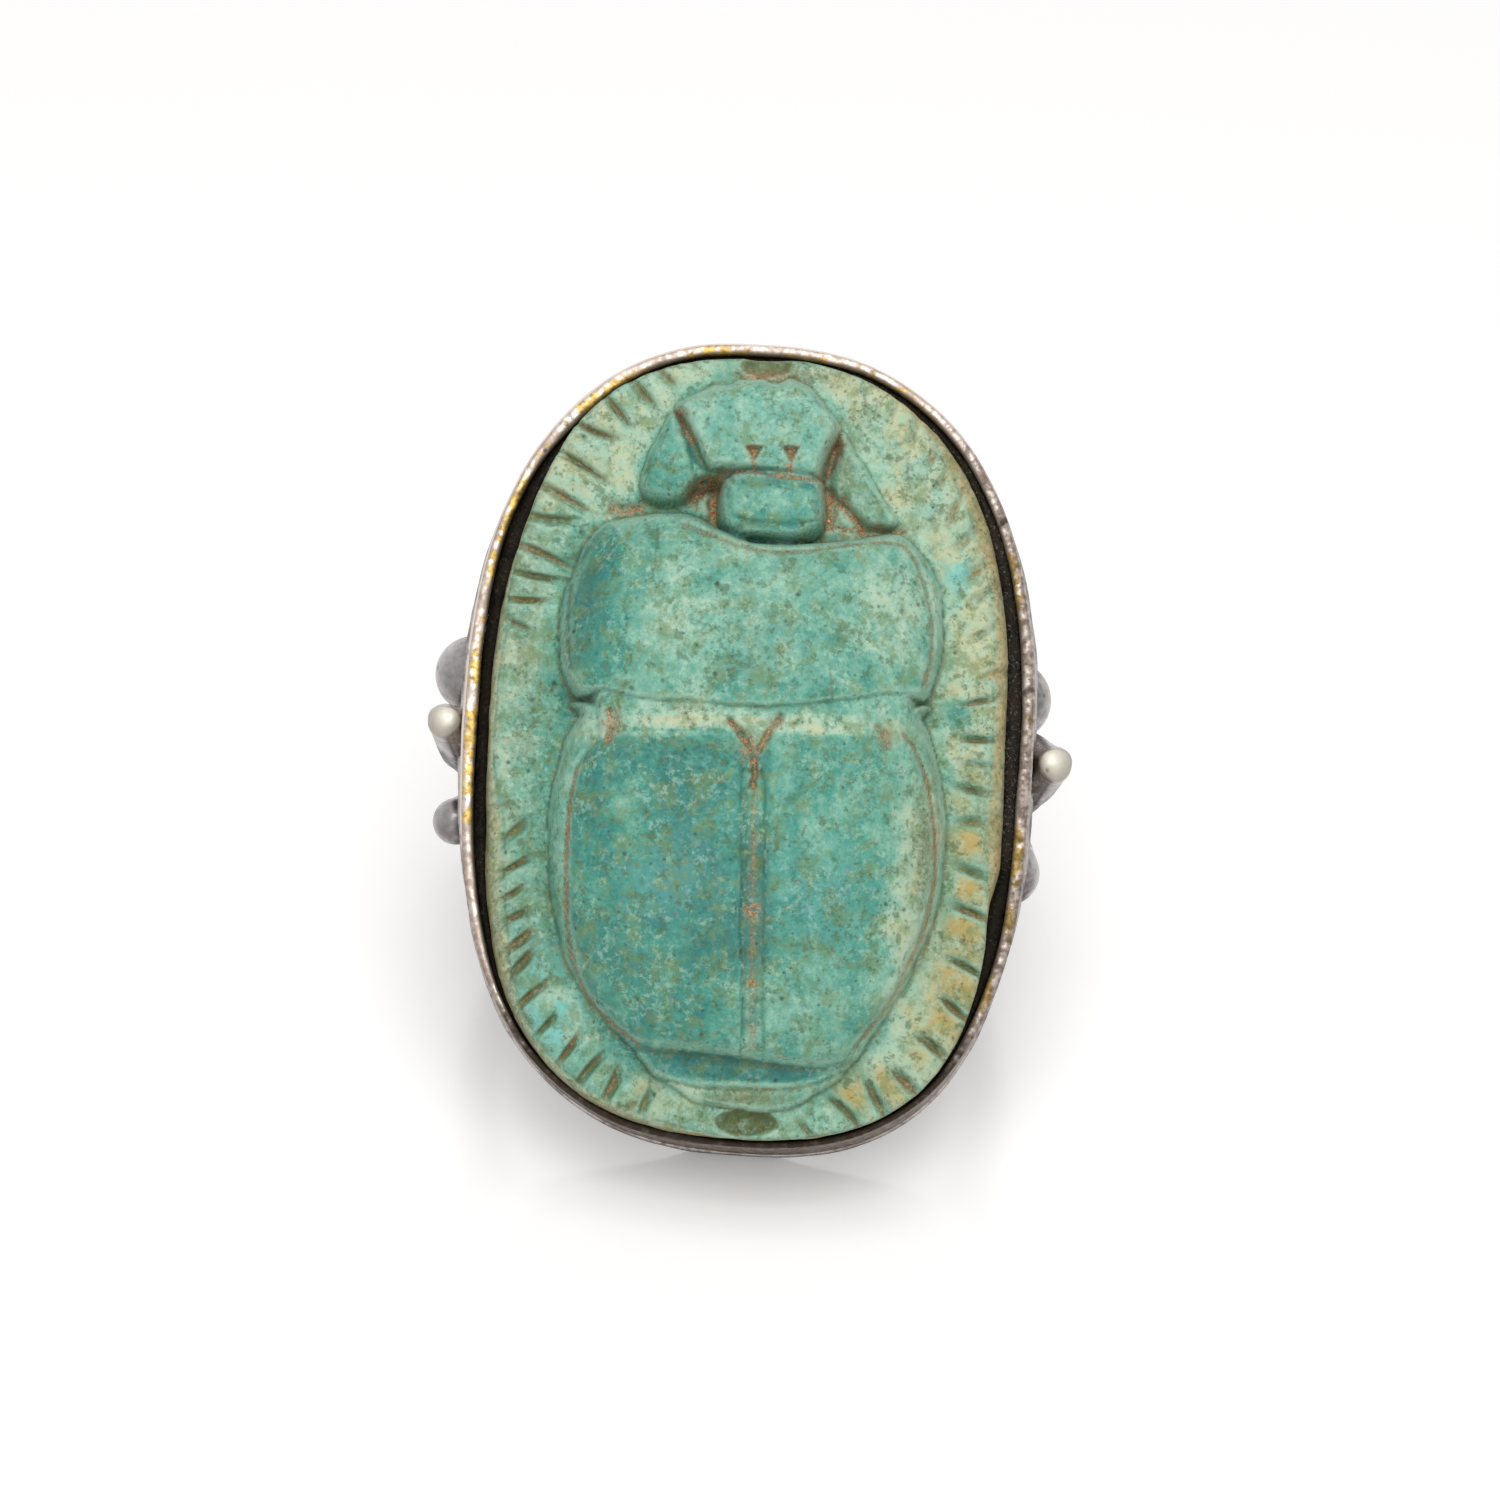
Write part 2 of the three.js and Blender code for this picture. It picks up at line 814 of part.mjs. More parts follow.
// A wedge-shaped mark, wide towards the front and pointed towards the tail.
function wedgeMark(share) {
  const x = share * head.reach;
  const front = neckShare * beetleHalfLength + headMarks.placeShare * head.reach;
  const outline = [
    new THREE.Vector2(x, front - head.markLength),
    new THREE.Vector2(x + head.markWidth / 2, front),
    new THREE.Vector2(x - head.markWidth / 2, front),
  ];
  return placed(stamp(outline, borderTop + head.rise - head.markDepth, beetleTop));
}

// A ledge under the tip of the wing cases.
function tailLedge(length, rise) {
  const form = {
    ...ledge,
    halfWidth: tail.halfWidth,
    halfLength: length + tail.halfWidth,
  };
  const top = borderTop + rise;
  const block = skin([oval(form, beetleBase, 0, sides.pad), oval(form, top, 0, sides.pad)]);
  return placed(block.translate(0, tail.halfWidth - wingTipShare * beetleHalfLength, 0));
}

function scarab() {
  const drill = new THREE.CylinderGeometry(
    threadHole.radius,
    threadHole.radius,
    2 * (plinthHalfLength + overrun),
    sides.drill,
  ).translate(0, 0, plinthTop - threadHole.belowEdge);
  const plain = solid(plinthBlock());
  const notched = notches.reduce((left, notch) => left.subtract(solid(notchWedge(notch))), plain);
  const body = notched
    .add(wingCases())
    .add(shield())
    .add(headPlate())
    .add(neckPad())
    .add(collarPad())
    .add(cheek(leftCheekShares))
    .add(cheek(rightCheekShares))
    .add(tailLedge(tail.lowerLength, tail.lowerRise))
    .add(tailLedge(tail.upperLength, tail.upperRise))
    .subtract(wedgeMark(headMarks.leftShare))
    .subtract(wedgeMark(headMarks.rightShare))
    .subtract(placed(drill));
  return geometryOf(body);
}

// The hoop and its shoulders

// The hoop's section, as radius against place along the finger: flat inside and at the sides,
// domed on its back.
function hoopSection() {
  const half = hoop.width / 2;
  const section = [new THREE.Vector2(hole.radius, half), new THREE.Vector2(hole.radius, -half)];
  for (let step = 0; step <= steps.swell; step++) {
    const angle = (step / steps.swell - 0.5) * Math.PI;
    section.push(
      new THREE.Vector2(landRadius + hoop.domeRise * Math.cos(angle), half * Math.sin(angle)),
    );
  }
  return section;
}

function shankHoop() {
  const section = hoopSection();
  const facet = (2 * Math.PI) / sides.hoop;
  const ring = new THREE.LatheGeometry([...section, section[0]], sides.hoop, facet / 2);
  const tall = hoopRadius + overrun;
  const cutter = new THREE.BoxGeometry(2 * tall, hoop.width + 2 * overrun, tall);
  cutter.translate(0, 0, hoop.seamHeight - seam / 2 + tall / 2);
  return geometryOf(solid(ring).subtract(solid(cutter)));
}

// A shoulder's section at a height, with a grown one for what has to keep clear of it. It has
// the hoop's own D at the seam and fans out to the plate.
function shoulderSection(height, grow = 0) {
  const span = plateUnderside - hoop.seamHeight;
  const t = (height - hoop.seamHeight) / span;
  const topCrown = boxForm(plateUnderside).halfWidth - shoulder.topInset;
  const atSeam = Math.sqrt(hoopRadius ** 2 - hoop.seamHeight ** 2);
  const lean = (-hoop.seamHeight / atSeam) * span; // the hoop's own slope, at the seam
  const crownX = eased(atSeam, lean, topCrown, 0, t) + grow;
  const landAtSeam = Math.sqrt(landRadius ** 2 - hoop.seamHeight ** 2);
  const landX = eased(landAtSeam, lean, topCrown - hoop.domeRise, 0, t) + grow;
  const half = eased(hoop.width / 2, 0, shoulder.topWidth / 2, shoulder.flare, t) + grow;
  const innerX = Math.sqrt(hole.radius ** 2 - height ** 2) - grow;
  const section = [];
  for (let step = 0; step <= steps.swell; step++) {
    const angle = (step / steps.swell - 0.5) * Math.PI;
    const x = landX + (crownX - landX) * Math.cos(angle);
    section.push(new THREE.Vector3(x, half * Math.sin(angle), height));
  }
  section.push(new THREE.Vector3(innerX, half, height), new THREE.Vector3(innerX, -half, height));
  return section;
}

function shoulderFan(grow = 0) {
  const low = Math.asin((hoop.seamHeight + seam / 2) / hole.radius);
  const high = Math.asin((plateUnderside - seam) / hole.radius);
  const sections = [];
  for (let step = 0; step <= steps.shoulder; step++) {
    const angle = THREE.MathUtils.lerp(low, high, step / steps.shoulder);
    sections.push(shoulderSection(hole.radius * Math.sin(angle), grow));
  }
  return skin(sections);
}

// A bud: ellipses along a spine that leaves the shoulder, passes the box and turns up. Its
// root rounds off on the shoulder and its tip is worn flat.
function budHorn(sizes, grow = 0) {
  const plateEdge = boxForm(plateUnderside).halfWidth;
  const rootHeight = plateUnderside - bud.rootBelowPlate;
  const tipHeight = rimHeight - sizes.belowRim;
  const tipX = boxForm(tipHeight).halfWidth + sizes.reach - bud.tipHalfDepth;
  const spine = new THREE.QuadraticBezierCurve3(
    new THREE.Vector3(plateEdge - bud.rootInset, sizes.rootPlace, rootHeight),
    new THREE.Vector3((plateEdge + tipX) / 2, sizes.place, plateTop),
    new THREE.Vector3(tipX, sizes.place, tipHeight + grow),
  );
  const loops = [];
  for (let step = 0; step <= steps.bud; step++) {
    const t = step / steps.bud;
    const opened = Math.min((step + 1) / steps.bud / bud.calyxShare, 1);
    const calyx = Math.sqrt(1 - (1 - opened) ** 2);
    const centre = spine.getPoint(t);
    const along = spine.getTangent(t);
    const across = new THREE.Vector3(0, 1, 0);
    const out = new THREE.Vector3().crossVectors(across, along).normalize();
    const halfWidth = calyx * eased(sizes.halfWidth, 0, sizes.tipHalfWidth, 0, t) + grow;
    const halfDepth = calyx * eased(bud.rootHalfDepth, 0, bud.tipHalfDepth, 0, t) + grow;
    loops.push(
      Array.from({ length: sides.bud }, (_, i) => {
        const angle = ((i + 0.5) / sides.bud) * 2 * Math.PI;
        return centre
          .clone()
          .addScaledVector(out, halfDepth * Math.cos(angle))
          .addScaledVector(across, halfWidth * Math.sin(angle));
      }),
    );
  }
  return skin(loops);
}

// Points of an arc about a place on a turned profile's axis.
function arc(radius, place, from, to, count) {
  return Array.from({ length: count + 1 }, (_, i) => {
    const angle = THREE.MathUtils.lerp(from, to, i / count);
    return new THREE.Vector2(radius * Math.cos(angle), place + radius * Math.sin(angle));
  });
}

// A petal: a drop turned on its axis, narrow at the hoop and round under the plate. Its flank
// is the line that touches the arcs of its two ends.
function petalDrop(sizes) {
  const plateEdge = boxForm(plateUnderside).halfWidth;
  const headHeight = plateUnderside - sizes.belowPlate;
  const headPoint = new THREE.Vector3(
    plateEdge + sizes.reach - sizes.radius,
    sizes.place,
    headHeight,
  );
  const foot = new THREE.Vector3(
    Math.sqrt(hoopRadius ** 2 - hoop.seamHeight ** 2),
    Math.sign(sizes.place) * petal.footPlace,
    hoop.seamHeight + petal.footAboveSeam,
  );
  const axis = headPoint.clone().sub(foot);
  const length = axis.length();
  const flank = -Math.asin((sizes.radius - petal.footRadius) / length);
  const footArc = arc(petal.footRadius, 0, -Math.PI / 2, flank, steps.petalFoot);
  const headArc = arc(sizes.radius, length, flank, Math.PI / 2, steps.petalHead);
  const profile = [...footArc, ...headArc];
  profile[0].x = 0;
  profile.at(-1).x = 0;
  const drop = new THREE.LatheGeometry(profile, sides.petal);
  const turn = new THREE.Quaternion().setFromUnitVectors(
    new THREE.Vector3(0, 1, 0),
    axis.normalize(),
  );
  return drop.applyQuaternion(turn).translate(foot.x, foot.y, foot.z);
}

// Materials

const material = {
  glaze: new THREE.MeshStandardMaterial({ color: 0x63a994, roughness: 0.5, metalness: 0 }),
  pitch: new THREE.MeshStandardMaterial({ color: 0x15130f, roughness: 0.7, metalness: 0 }),
  gilt: new THREE.MeshStandardMaterial({ color: 0xa8937a, roughness: 0.45, metalness: 1 }),
  silver: new THREE.MeshStandardMaterial({ color: 0x9d9793, roughness: 0.4, metalness: 1 }),
};

function piece(name, geometry, finish) {
  const loose = geometry.toNonIndexed();
  loose.computeVertexNormals();
  const mesh = new THREE.Mesh(loose, finish.clone());
  mesh.name = name;
  return mesh;
}

// One shoulder with its ornament, made for the right and mirrored for the left.
function shoulderGroup(side) {
  const group = new THREE.Group();
  const sizes = ornaments[side];
  const clearOf = solid(shoulderFan(seam)).add(solid(boxSpace()));
  const budSpace = solid(budHorn(sizes.bud, seam));
  group.add(piece(side + "_shoulder", shoulderFan(), material.silver));
  group.add(
    piece(side + "_bud", geometryOf(solid(budHorn(sizes.bud)).subtract(clearOf)), material.silver),
  );
  for (const name of ["upper_petal", "lower_petal"]) {
    const drop = solid(petalDrop(sizes[name])).subtract(clearOf).subtract(budSpace);
    group.add(piece(side + "_" + name, geometryOf(drop), material.silver));
  }
  group.scale.x = side === "left" ? -1 : 1;
  return group;
}

// Where the ring stands

// It leans back until the tail end of its plate and the edge of its hoop touch the table: the
// lean is the steepest line from the one to a point of the hoop's lowest section.
const tailEnd = Math.min(...oval(boxForm(plateUnderside), plateUnderside).map((p) => p.y));
const lowest = Math.cos(Math.PI / sides.hoop);
const lean = Math.max(
  ...hoopSection().map((p) => Math.atan2(plateUnderside + p.x * lowest, p.y - tailEnd)),
);

// A piece with the flat that the table has worn on it.
function worn(geometry) {
  const reach = 2 * (boxForm(plateUnderside).halfLength + hoopRadius);
  const table = new THREE.BoxGeometry(reach, reach, reach)
    .translate(0, 0, stand.wear - reach / 2)
    .rotateX(-lean)
    .translate(0, tailEnd, plateUnderside);
  return geometryOf(solid(geometry).subtract(solid(table)));
}

// The ring, in its own frame

const ring = new THREE.Group();
ring.add(piece("scarab", scarab(), material.glaze));
ring.add(piece("pitch_bed", pitchBed(), material.pitch));
ring.add(piece("bezel_wall", bezelWall(), material.gilt));
ring.add(piece("bezel_base_plate", worn(bezelPlate()), material.silver));
ring.add(piece("shank_hoop", worn(shankHoop()), material.silver));
ring.add(shoulderGroup("left"));
ring.add(shoulderGroup("right"));

ring.rotation.x = lean;

// The finished part, with its origin on the table under the middle of the ring.
const part = new THREE.Group();
part.add(ring);
const box = new THREE.Box3().setFromObject(part, true);
const centre = box.getCenter(new THREE.Vector3());
ring.position.set(-centre.x, -centre.y, -box.min.z);

export default part;
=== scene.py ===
"""A worn scarab ring: a carved, glazed scarab bedded in pitch in a silver-gilt box bezel.

Lengths are in millimetres in the ring's own frame, where X runs across the finger, Y along the
finger to the beetle's head and Z out of the face, from the centre of the finger hole. RingFrame
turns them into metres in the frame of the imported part.
"""
from __future__ import annotations

import json
import logging
import math
from dataclasses import dataclass, field, replace
from enum import Enum

import bpy
import numpy as np
from mathutils import Matrix, Vector

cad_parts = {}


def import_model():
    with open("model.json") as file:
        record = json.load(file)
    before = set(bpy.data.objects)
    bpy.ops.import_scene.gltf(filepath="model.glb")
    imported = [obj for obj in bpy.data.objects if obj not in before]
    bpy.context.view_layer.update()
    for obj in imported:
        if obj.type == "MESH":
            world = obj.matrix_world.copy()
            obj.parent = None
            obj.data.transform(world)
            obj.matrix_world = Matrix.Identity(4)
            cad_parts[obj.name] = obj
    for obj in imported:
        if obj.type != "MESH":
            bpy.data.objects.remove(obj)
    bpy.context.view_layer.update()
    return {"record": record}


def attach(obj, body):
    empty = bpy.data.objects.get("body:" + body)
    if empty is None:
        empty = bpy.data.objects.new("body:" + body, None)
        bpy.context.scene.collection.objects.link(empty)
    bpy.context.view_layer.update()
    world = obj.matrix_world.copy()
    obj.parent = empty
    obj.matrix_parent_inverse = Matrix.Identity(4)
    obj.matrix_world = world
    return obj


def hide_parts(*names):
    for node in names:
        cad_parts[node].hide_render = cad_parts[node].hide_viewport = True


LOG = logging.getLogger("scarab_ring")
MM = 0.001
TURN = 2.0 * math.pi


class Slot(Enum):
    """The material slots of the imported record."""

    GLAZE = "glazed_steatite"
    PITCH = "black_pitch"
    GILT = "worn_silver_gilt"
    DULL = "tarnished_silver"
    BRIGHT = "polished_silver"


class Tint(Enum):
    """What a patch of the glaze leans towards."""

    DEEP = "deep"
    PALE = "pale"
    CYAN = "cyan"
    OCHRE = "ochre"
    MOSS = "moss"
    DIRT = "dirt"


# Places and forms


Rows = tuple[tuple[float, ...], ...]


@dataclass(frozen=True)
class RingFrame:
    """The ring's own frame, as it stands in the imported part.

    Attributes:
        origin: The centre of the finger hole, in metres.
        along: The direction of the ring's Y.
        out: The direction of the ring's Z, out of the face.
    """

    origin: np.ndarray
    along: np.ndarray
    out: np.ndarray

    @classmethod
    def from_record(cls, record: dict, seat_place: float, seat_height: float) -> RingFrame:
        """Works the frame out from the mount on the underside of the bezel's plate.

        Args:
            record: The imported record.
            seat_place: The mount's Y in the ring's frame, in millimetres.
            seat_height: The mount's Z in the ring's frame, in millimetres.

        Returns:
            The ring's frame.
        """
        mount = record["mounts"][0]
        out = -np.array(mount["axis"], float)
        out /= np.linalg.norm(out)
        along = np.array((0.0, out[2], -out[1]))
        seat = np.array(mount["pos_m"], float)
        return cls(seat - MM * (seat_place * along + seat_height * out), along, out)

    def world(self, points: np.ndarray) -> np.ndarray:
        """Points of the ring's frame, in millimetres, as metres in the part's frame."""
        across = np.array((1.0, 0.0, 0.0))
        axes = np.stack([across, self.along, self.out])
        return self.origin + MM * (points @ axes)


@dataclass(frozen=True)
class Oval:
    """An oval |x/a|^n + |y/b|^n = 1, with one power n for its head half and one for its tail."""

    half_width: float
    half_length: float
    head_power: float
    tail_power: float

    def grown(self, by: float) -> Oval:
        """The oval with both half sizes larger by a length."""
        return replace(self, half_width=self.half_width + by, half_length=self.half_length + by)

    def level(self, x: np.ndarray, y: np.ndarray) -> np.ndarray:
        """The factor by which the oval is scaled to pass through each point."""
        power = np.where(y > 0, self.head_power, self.tail_power)
        total = np.abs(x / self.half_width) ** power + np.abs(y / self.half_length) ** power
        return total ** (1 / power)

    def depth(self, x: np.ndarray, y: np.ndarray) -> np.ndarray:
        """About how far each point lies inside the oval: (1 - level) over the level's slope.

        Args:
            x: Across.
            y: Along.

        Returns:
            The depth at each point, negative outside.
        """
        power = np.where(y > 0, self.head_power, self.tail_power)
        level = np.maximum(self.level(x, y), 1e-6)
        across = (np.abs(x / self.half_width) / level) ** (power - 1) / self.half_width
        along = (np.abs(y / self.half_length) / level) ** (power - 1) / self.half_length
        return (1 - level) / np.maximum(np.hypot(across, along), 1e-6)

    def radius(self, angles: np.ndarray) -> np.ndarray:
        """How far the oval lies from its middle at polar angles."""
        return 1 / self.level(np.cos(angles), np.sin(angles))

    def loop(self, angles: np.ndarray) -> np.ndarray:
        """The oval's points at polar angles, as an (n, 2) array."""
        return polar(self.radius(angles), angles)

    def inward(self, angle: float) -> np.ndarray:
        """The unit normal at a polar angle, pointing inwards.

        Args:
            angle: The angle, in radians.

        Returns:
            The normal's two numbers.
        """
        x, y = self.loop(np.array([angle]))[0]
        power = self.head_power if y > 0 else self.tail_power
        normal = -np.array(
            (
                math.copysign(abs(x / self.half_width) ** (power - 1), x) / self.half_width,
                math.copysign(abs(y / self.half_length) ** (power - 1), y) / self.half_length,
            )
        )
        return normal / np.linalg.norm(normal)


@dataclass(frozen=True)
class Turned:
    """A value that changes round the ring.

    Attributes:
        pairs: Polar angles in degrees, each with the value there.
    """

    pairs: Rows

    def at(self, angles: np.ndarray) -> np.ndarray:
        """The value at each angle: straight between the pairs, then softened over two degrees.

        Args:
            angles: Polar angles, in radians.

        Returns:
            The value at each of them.
        """
        places, values = np.array(self.pairs, float).T
        degrees = np.degrees(angles)
        near = [np.interp(degrees + apart, places, values, period=360) for apart in (-2, 0, 2)]
        return (near[0] + near[1] + near[2]) / 3


def bell(angles: np.ndarray, place: float, width: float) -> np.ndarray:
    """exp(-(a/w)^2), where a is how far each angle is from a place, in degrees."""
    apart = np.degrees(np.angle(np.exp(1j * (angles - math.radians(place)))))
    return np.exp(-((apart / width) ** 2))


def polar(radius: np.ndarray, angles: np.ndarray) -> np.ndarray:
    """Points at radii and polar angles, as an (n, 2) array."""
    return np.stack([radius * np.cos(angles), radius * np.sin(angles)], axis=-1)


def lifted(flat: np.ndarray, height: np.ndarray | float) -> np.ndarray:
    """Flat points raised to one height, or each to its own, as an (n, 3) array."""
    return np.concatenate([flat, np.broadcast_to(height, len(flat))[:, None]], axis=1)


def around(count: int) -> np.ndarray:
    """Evenly spread angles of one turn."""
    return np.arange(count) * TURN / count


def ease(share: np.ndarray) -> np.ndarray:
    """A smooth step: 3 t^2 - 2 t^3, held between 0 and 1."""
    held = np.clip(share, 0, 1)
    return held * held * (3 - 2 * held)


def hermite(start: float, leave: float, end: float, arrive: float, t: np.ndarray) -> np.ndarray:
    """A value that leaves one end with a given slope and arrives at the other with another."""
    rest = 1 - t
    return (
        start * rest * rest * (1 + 2 * t)
        + leave * rest * rest * t
        + end * t * t * (3 - 2 * t)
        - arrive * t * t * rest
    )


def rounded_path(points: list[tuple[float, float]], closed: bool, per_span: int = 6) -> np.ndarray:
    """A smooth curve through points: a Catmull-Rom spline, sampled evenly in each span.

    Args:
        points: The points in order.
        closed: Whether the curve returns to its start.
        per_span: How many samples each span has.

    Returns:
        An (n, 2) array.
    """
    given = np.array(points, float)
    if closed:
        padded = np.concatenate([given[-1:], given, given[:2]])
    else:
        first, last = 2 * given[0] - given[1], 2 * given[-1] - given[-2]
        padded = np.concatenate([first[None], given, last[None]])
    t = (np.arange(per_span) / per_span)[:, None]
    spans = []
    for a, b, c, d in zip(padded, padded[1:], padded[2:], padded[3:]):
        spans.append(
            b + 0.5 * t * (c - a + t * (2 * a - 5 * b + 4 * c - d + t * (3 * (b - c) + d - a)))
        )
    path = np.concatenate(spans)
    return path if closed else np.concatenate([path, given[-1:]])


def path_distance(x: np.ndarray, y: np.ndarray, path: np.ndarray) -> np.ndarray:
    """The distance from each point to the nearest segment of a path.

    Args:
        x: Across.
        y: Along.
        path: The path's points, as an (n, 2) array.

    Returns:
        The distance at each point.
    """
    best = np.full(x.shape, np.inf)
    for (ax, ay), (bx, by) in zip(path, path[1:]):
        dx, dy = bx - ax, by - ay
        share = np.clip(((x - ax) * dx + (y - ay) * dy) / max(dx * dx + dy * dy, 1e-12), 0, 1)
        best = np.minimum(best, np.hypot(x - ax - share * dx, y - ay - share * dy))
    return best


def outline_depth(x: np.ndarray, y: np.ndarray, outline: np.ndarray) -> np.ndarray:
    """How far each point lies inside a closed outline, negative outside.

    The sign comes from counting the outline's crossings of a ray to the right of the point.

    Args:
        x: Across.
        y: Along.
        outline: The outline's points, as an (n, 2) array.

    Returns:
        The depth at each point.
    """
    ring = np.concatenate([outline, outline[:1]])
    inside = np.zeros(x.shape, bool)
    for (ax, ay), (bx, by) in zip(ring, ring[1:]):
        if ay == by:
            continue
        crosses = (ay > y) != (by > y)
        inside ^= crosses & (x < ax + (y - ay) * (bx - ax) / (by - ay))
    return np.where(inside, 1.0, -1.0) * path_distance(x, y, ring)


class Grain:
    """Smooth noise on a lattice of fixed random values, the same on each run."""

    SIDE = 32

    def __init__(self, seed: int) -> None:
        """Fills the lattice from a seed."""
        self.lattice = np.random.default_rng(seed).random((self.SIDE,) * 3)

    def plain(self, points: np.ndarray, size: float) -> np.ndarray:
        """One octave, from -1 to 1: the lattice values round a point, blended with ease.

        Args:
            points: An (..., 3) array of places.
            size: The spacing of the lattice, in the points' unit.

        Returns:
            The noise at each place.
        """
        cell = np.floor(points / size).astype(int)
        share = points / size - cell
        share = share * share * (3 - 2 * share)
        total = np.zeros(points.shape[:-1])
        for corner in np.ndindex(2, 2, 2):
            index = (cell + corner) % self.SIDE
            weight = np.where(corner, share, 1 - share).prod(axis=-1)
            total += weight * self.lattice[index[..., 0], index[..., 1], index[..., 2]]
        return 2 * total - 1

    def rough(self, points: np.ndarray, size: float, octaves: int = 3) -> np.ndarray:
        """Several octaves: each next one is half as large and half as strong."""
        total = np.zeros(points.shape[:-1])
        for octave in range(octaves):
            total += self.plain(points + 7.3 * octave, size / 2**octave) / 2**octave
        return total


GRAIN = Grain(seed=7)


# Meshes


@dataclass
class Skin:
    """The points and faces of one closed surface, with values per point.

    Attributes:
        points: An (n, 3) array in the ring's frame, in millimetres.
        faces: Index arrays, each of one kind of face.
        values: Named values per point, which the finishes read.
    """

    points: np.ndarray
    faces: list[np.ndarray]
    values: dict[str, np.ndarray] = field(default_factory=dict)

    def triangles(self) -> np.ndarray:
        """All faces as triangles."""
        parts = []
        for kind in self.faces:
            for corner in range(1, kind.shape[1] - 1):
                parts.append(kind[:, [0, corner, corner + 1]])
        return np.concatenate(parts)

    def facing_out(self) -> Skin:
        """The skin with its faces turned outwards, told by the sign of its volume."""
        a, b, c = (self.points[self.triangles()[:, i]] for i in range(3))
        if np.einsum("ij,ij->i", a, np.cross(b, c)).sum() < 0:
            self.faces = [kind[:, ::-1] for kind in self.faces]
        return self


def loft(rows: np.ndarray, ringed: bool = False) -> Skin:
    """A closed skin over rows of equal point counts, each row closed on itself.

    Row i and row i + 1 are joined by quads. Fans close the first and last row, or the last row
    is joined to the first.

    Args:
        rows: An (m, n, 3) array.
        ringed: Whether the last row is joined to the first.

    Returns:
        The skin, facing outwards.
    """
    high, wide = rows.shape[:2]
    index = np.arange(high * wide).reshape(high, wide)
    if ringed:
        index = np.concatenate([index, index[:1]])
    low, up = index[:-1], index[1:]
    quads = np.stack([low, np.roll(low, -1, 1), np.roll(up, -1, 1), up], axis=-1).reshape(-1, 4)
    points = rows.reshape(-1, 3)
    faces = [quads]
    if not ringed:
        points = np.concatenate([points, rows[0].mean(0)[None], rows[-1].mean(0)[None]])
        first, last = index[0], index[-1]
        near = np.full(wide, len(points) - 2)
        far = np.full(wide, len(points) - 1)
        faces.append(np.stack([near, np.roll(first, -1), first], axis=-1))
        faces.append(np.stack([far, last, np.roll(last, -1)], axis=-1))
    return Skin(points, faces).facing_out()


def make_piece(
    name: str,
    skin: Skin,
    ring: RingFrame,
    material: bpy.types.Material,
    nodes: tuple[str, ...] = (),
) -> bpy.types.Object:
    """Puts a skin into the scene as a piece of the ring.

    Args:
        name: The piece's name.
        skin: Its surface.
        ring: The frame of its points.
        material: Its finish.
        nodes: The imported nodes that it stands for.

    Returns:
        The piece, which rides on the part's only body.
    """
    mesh = bpy.data.meshes.new(name)
    faces = [face for kind in skin.faces for face in kind.tolist()]
    places = ring.world(skin.points)
    places[:, 2] = np.maximum(places[:, 2], 0.0)  # the flats that tables have worn
    mesh.from_pydata(places.tolist(), [], faces)
    for label, values in skin.values.items():
        layer = mesh.attributes.new(label, "FLOAT", "POINT")
        layer.data.foreach_set("value", values.astype(np.float32))
    mesh.polygons.foreach_set("use_smooth", np.ones(len(mesh.polygons), bool))
    mesh.materials.append(material)
    mesh.update()
    piece = bpy.data.objects.new(name, mesh)
    bpy.context.scene.collection.objects.link(piece)
    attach(piece, "root")
    if nodes:
        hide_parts(*nodes)
    LOG.info("%s: %d points, %d faces", name, len(skin.points), len(faces))
    return piece


def bead(path: np.ndarray, radius: float, seed_shift: float, sides: int = 10) -> Skin:
    """A thin line of solder: a circle of uneven radius carried along a closed path.

    At each point the circle lies across the path: centre + r (cos a u + sin a v), where u and v
    are square to the path and r swells and shrinks with noise.

    Args:
        path: An (n, 3) closed path.
        radius: The bead's middle radius.
        seed_shift: Moves the noise, so that beads differ.
        sides: Points round the circle.

    Returns:
        The bead's skin.
    """
    ahead = np.roll(path, -1, 0) - np.roll(path, 1, 0)
    ahead /= np.linalg.norm(ahead, axis=1)[:, None]
    up = np.array((0.12, 0.31, 1.0)) / np.linalg.norm((0.12, 0.31, 1.0))
    side = np.cross(ahead, up)
    side /= np.linalg.norm(side, axis=1)[:, None]
    top = np.cross(side, ahead)
    swell = radius * (1 + 0.35 * GRAIN.rough(path + seed_shift, 1.3))
    angle = around(sides)
    cosine, sine = np.cos(angle)[None, :, None], np.sin(angle)[None, :, None]
    ring = side[:, None] * cosine + top[:, None] * sine
    return loft(path[:, None] + swell[:, None, None] * ring, ringed=True)


# Node trees


Colour = tuple[float, float, float]
Socket = bpy.types.NodeSocket


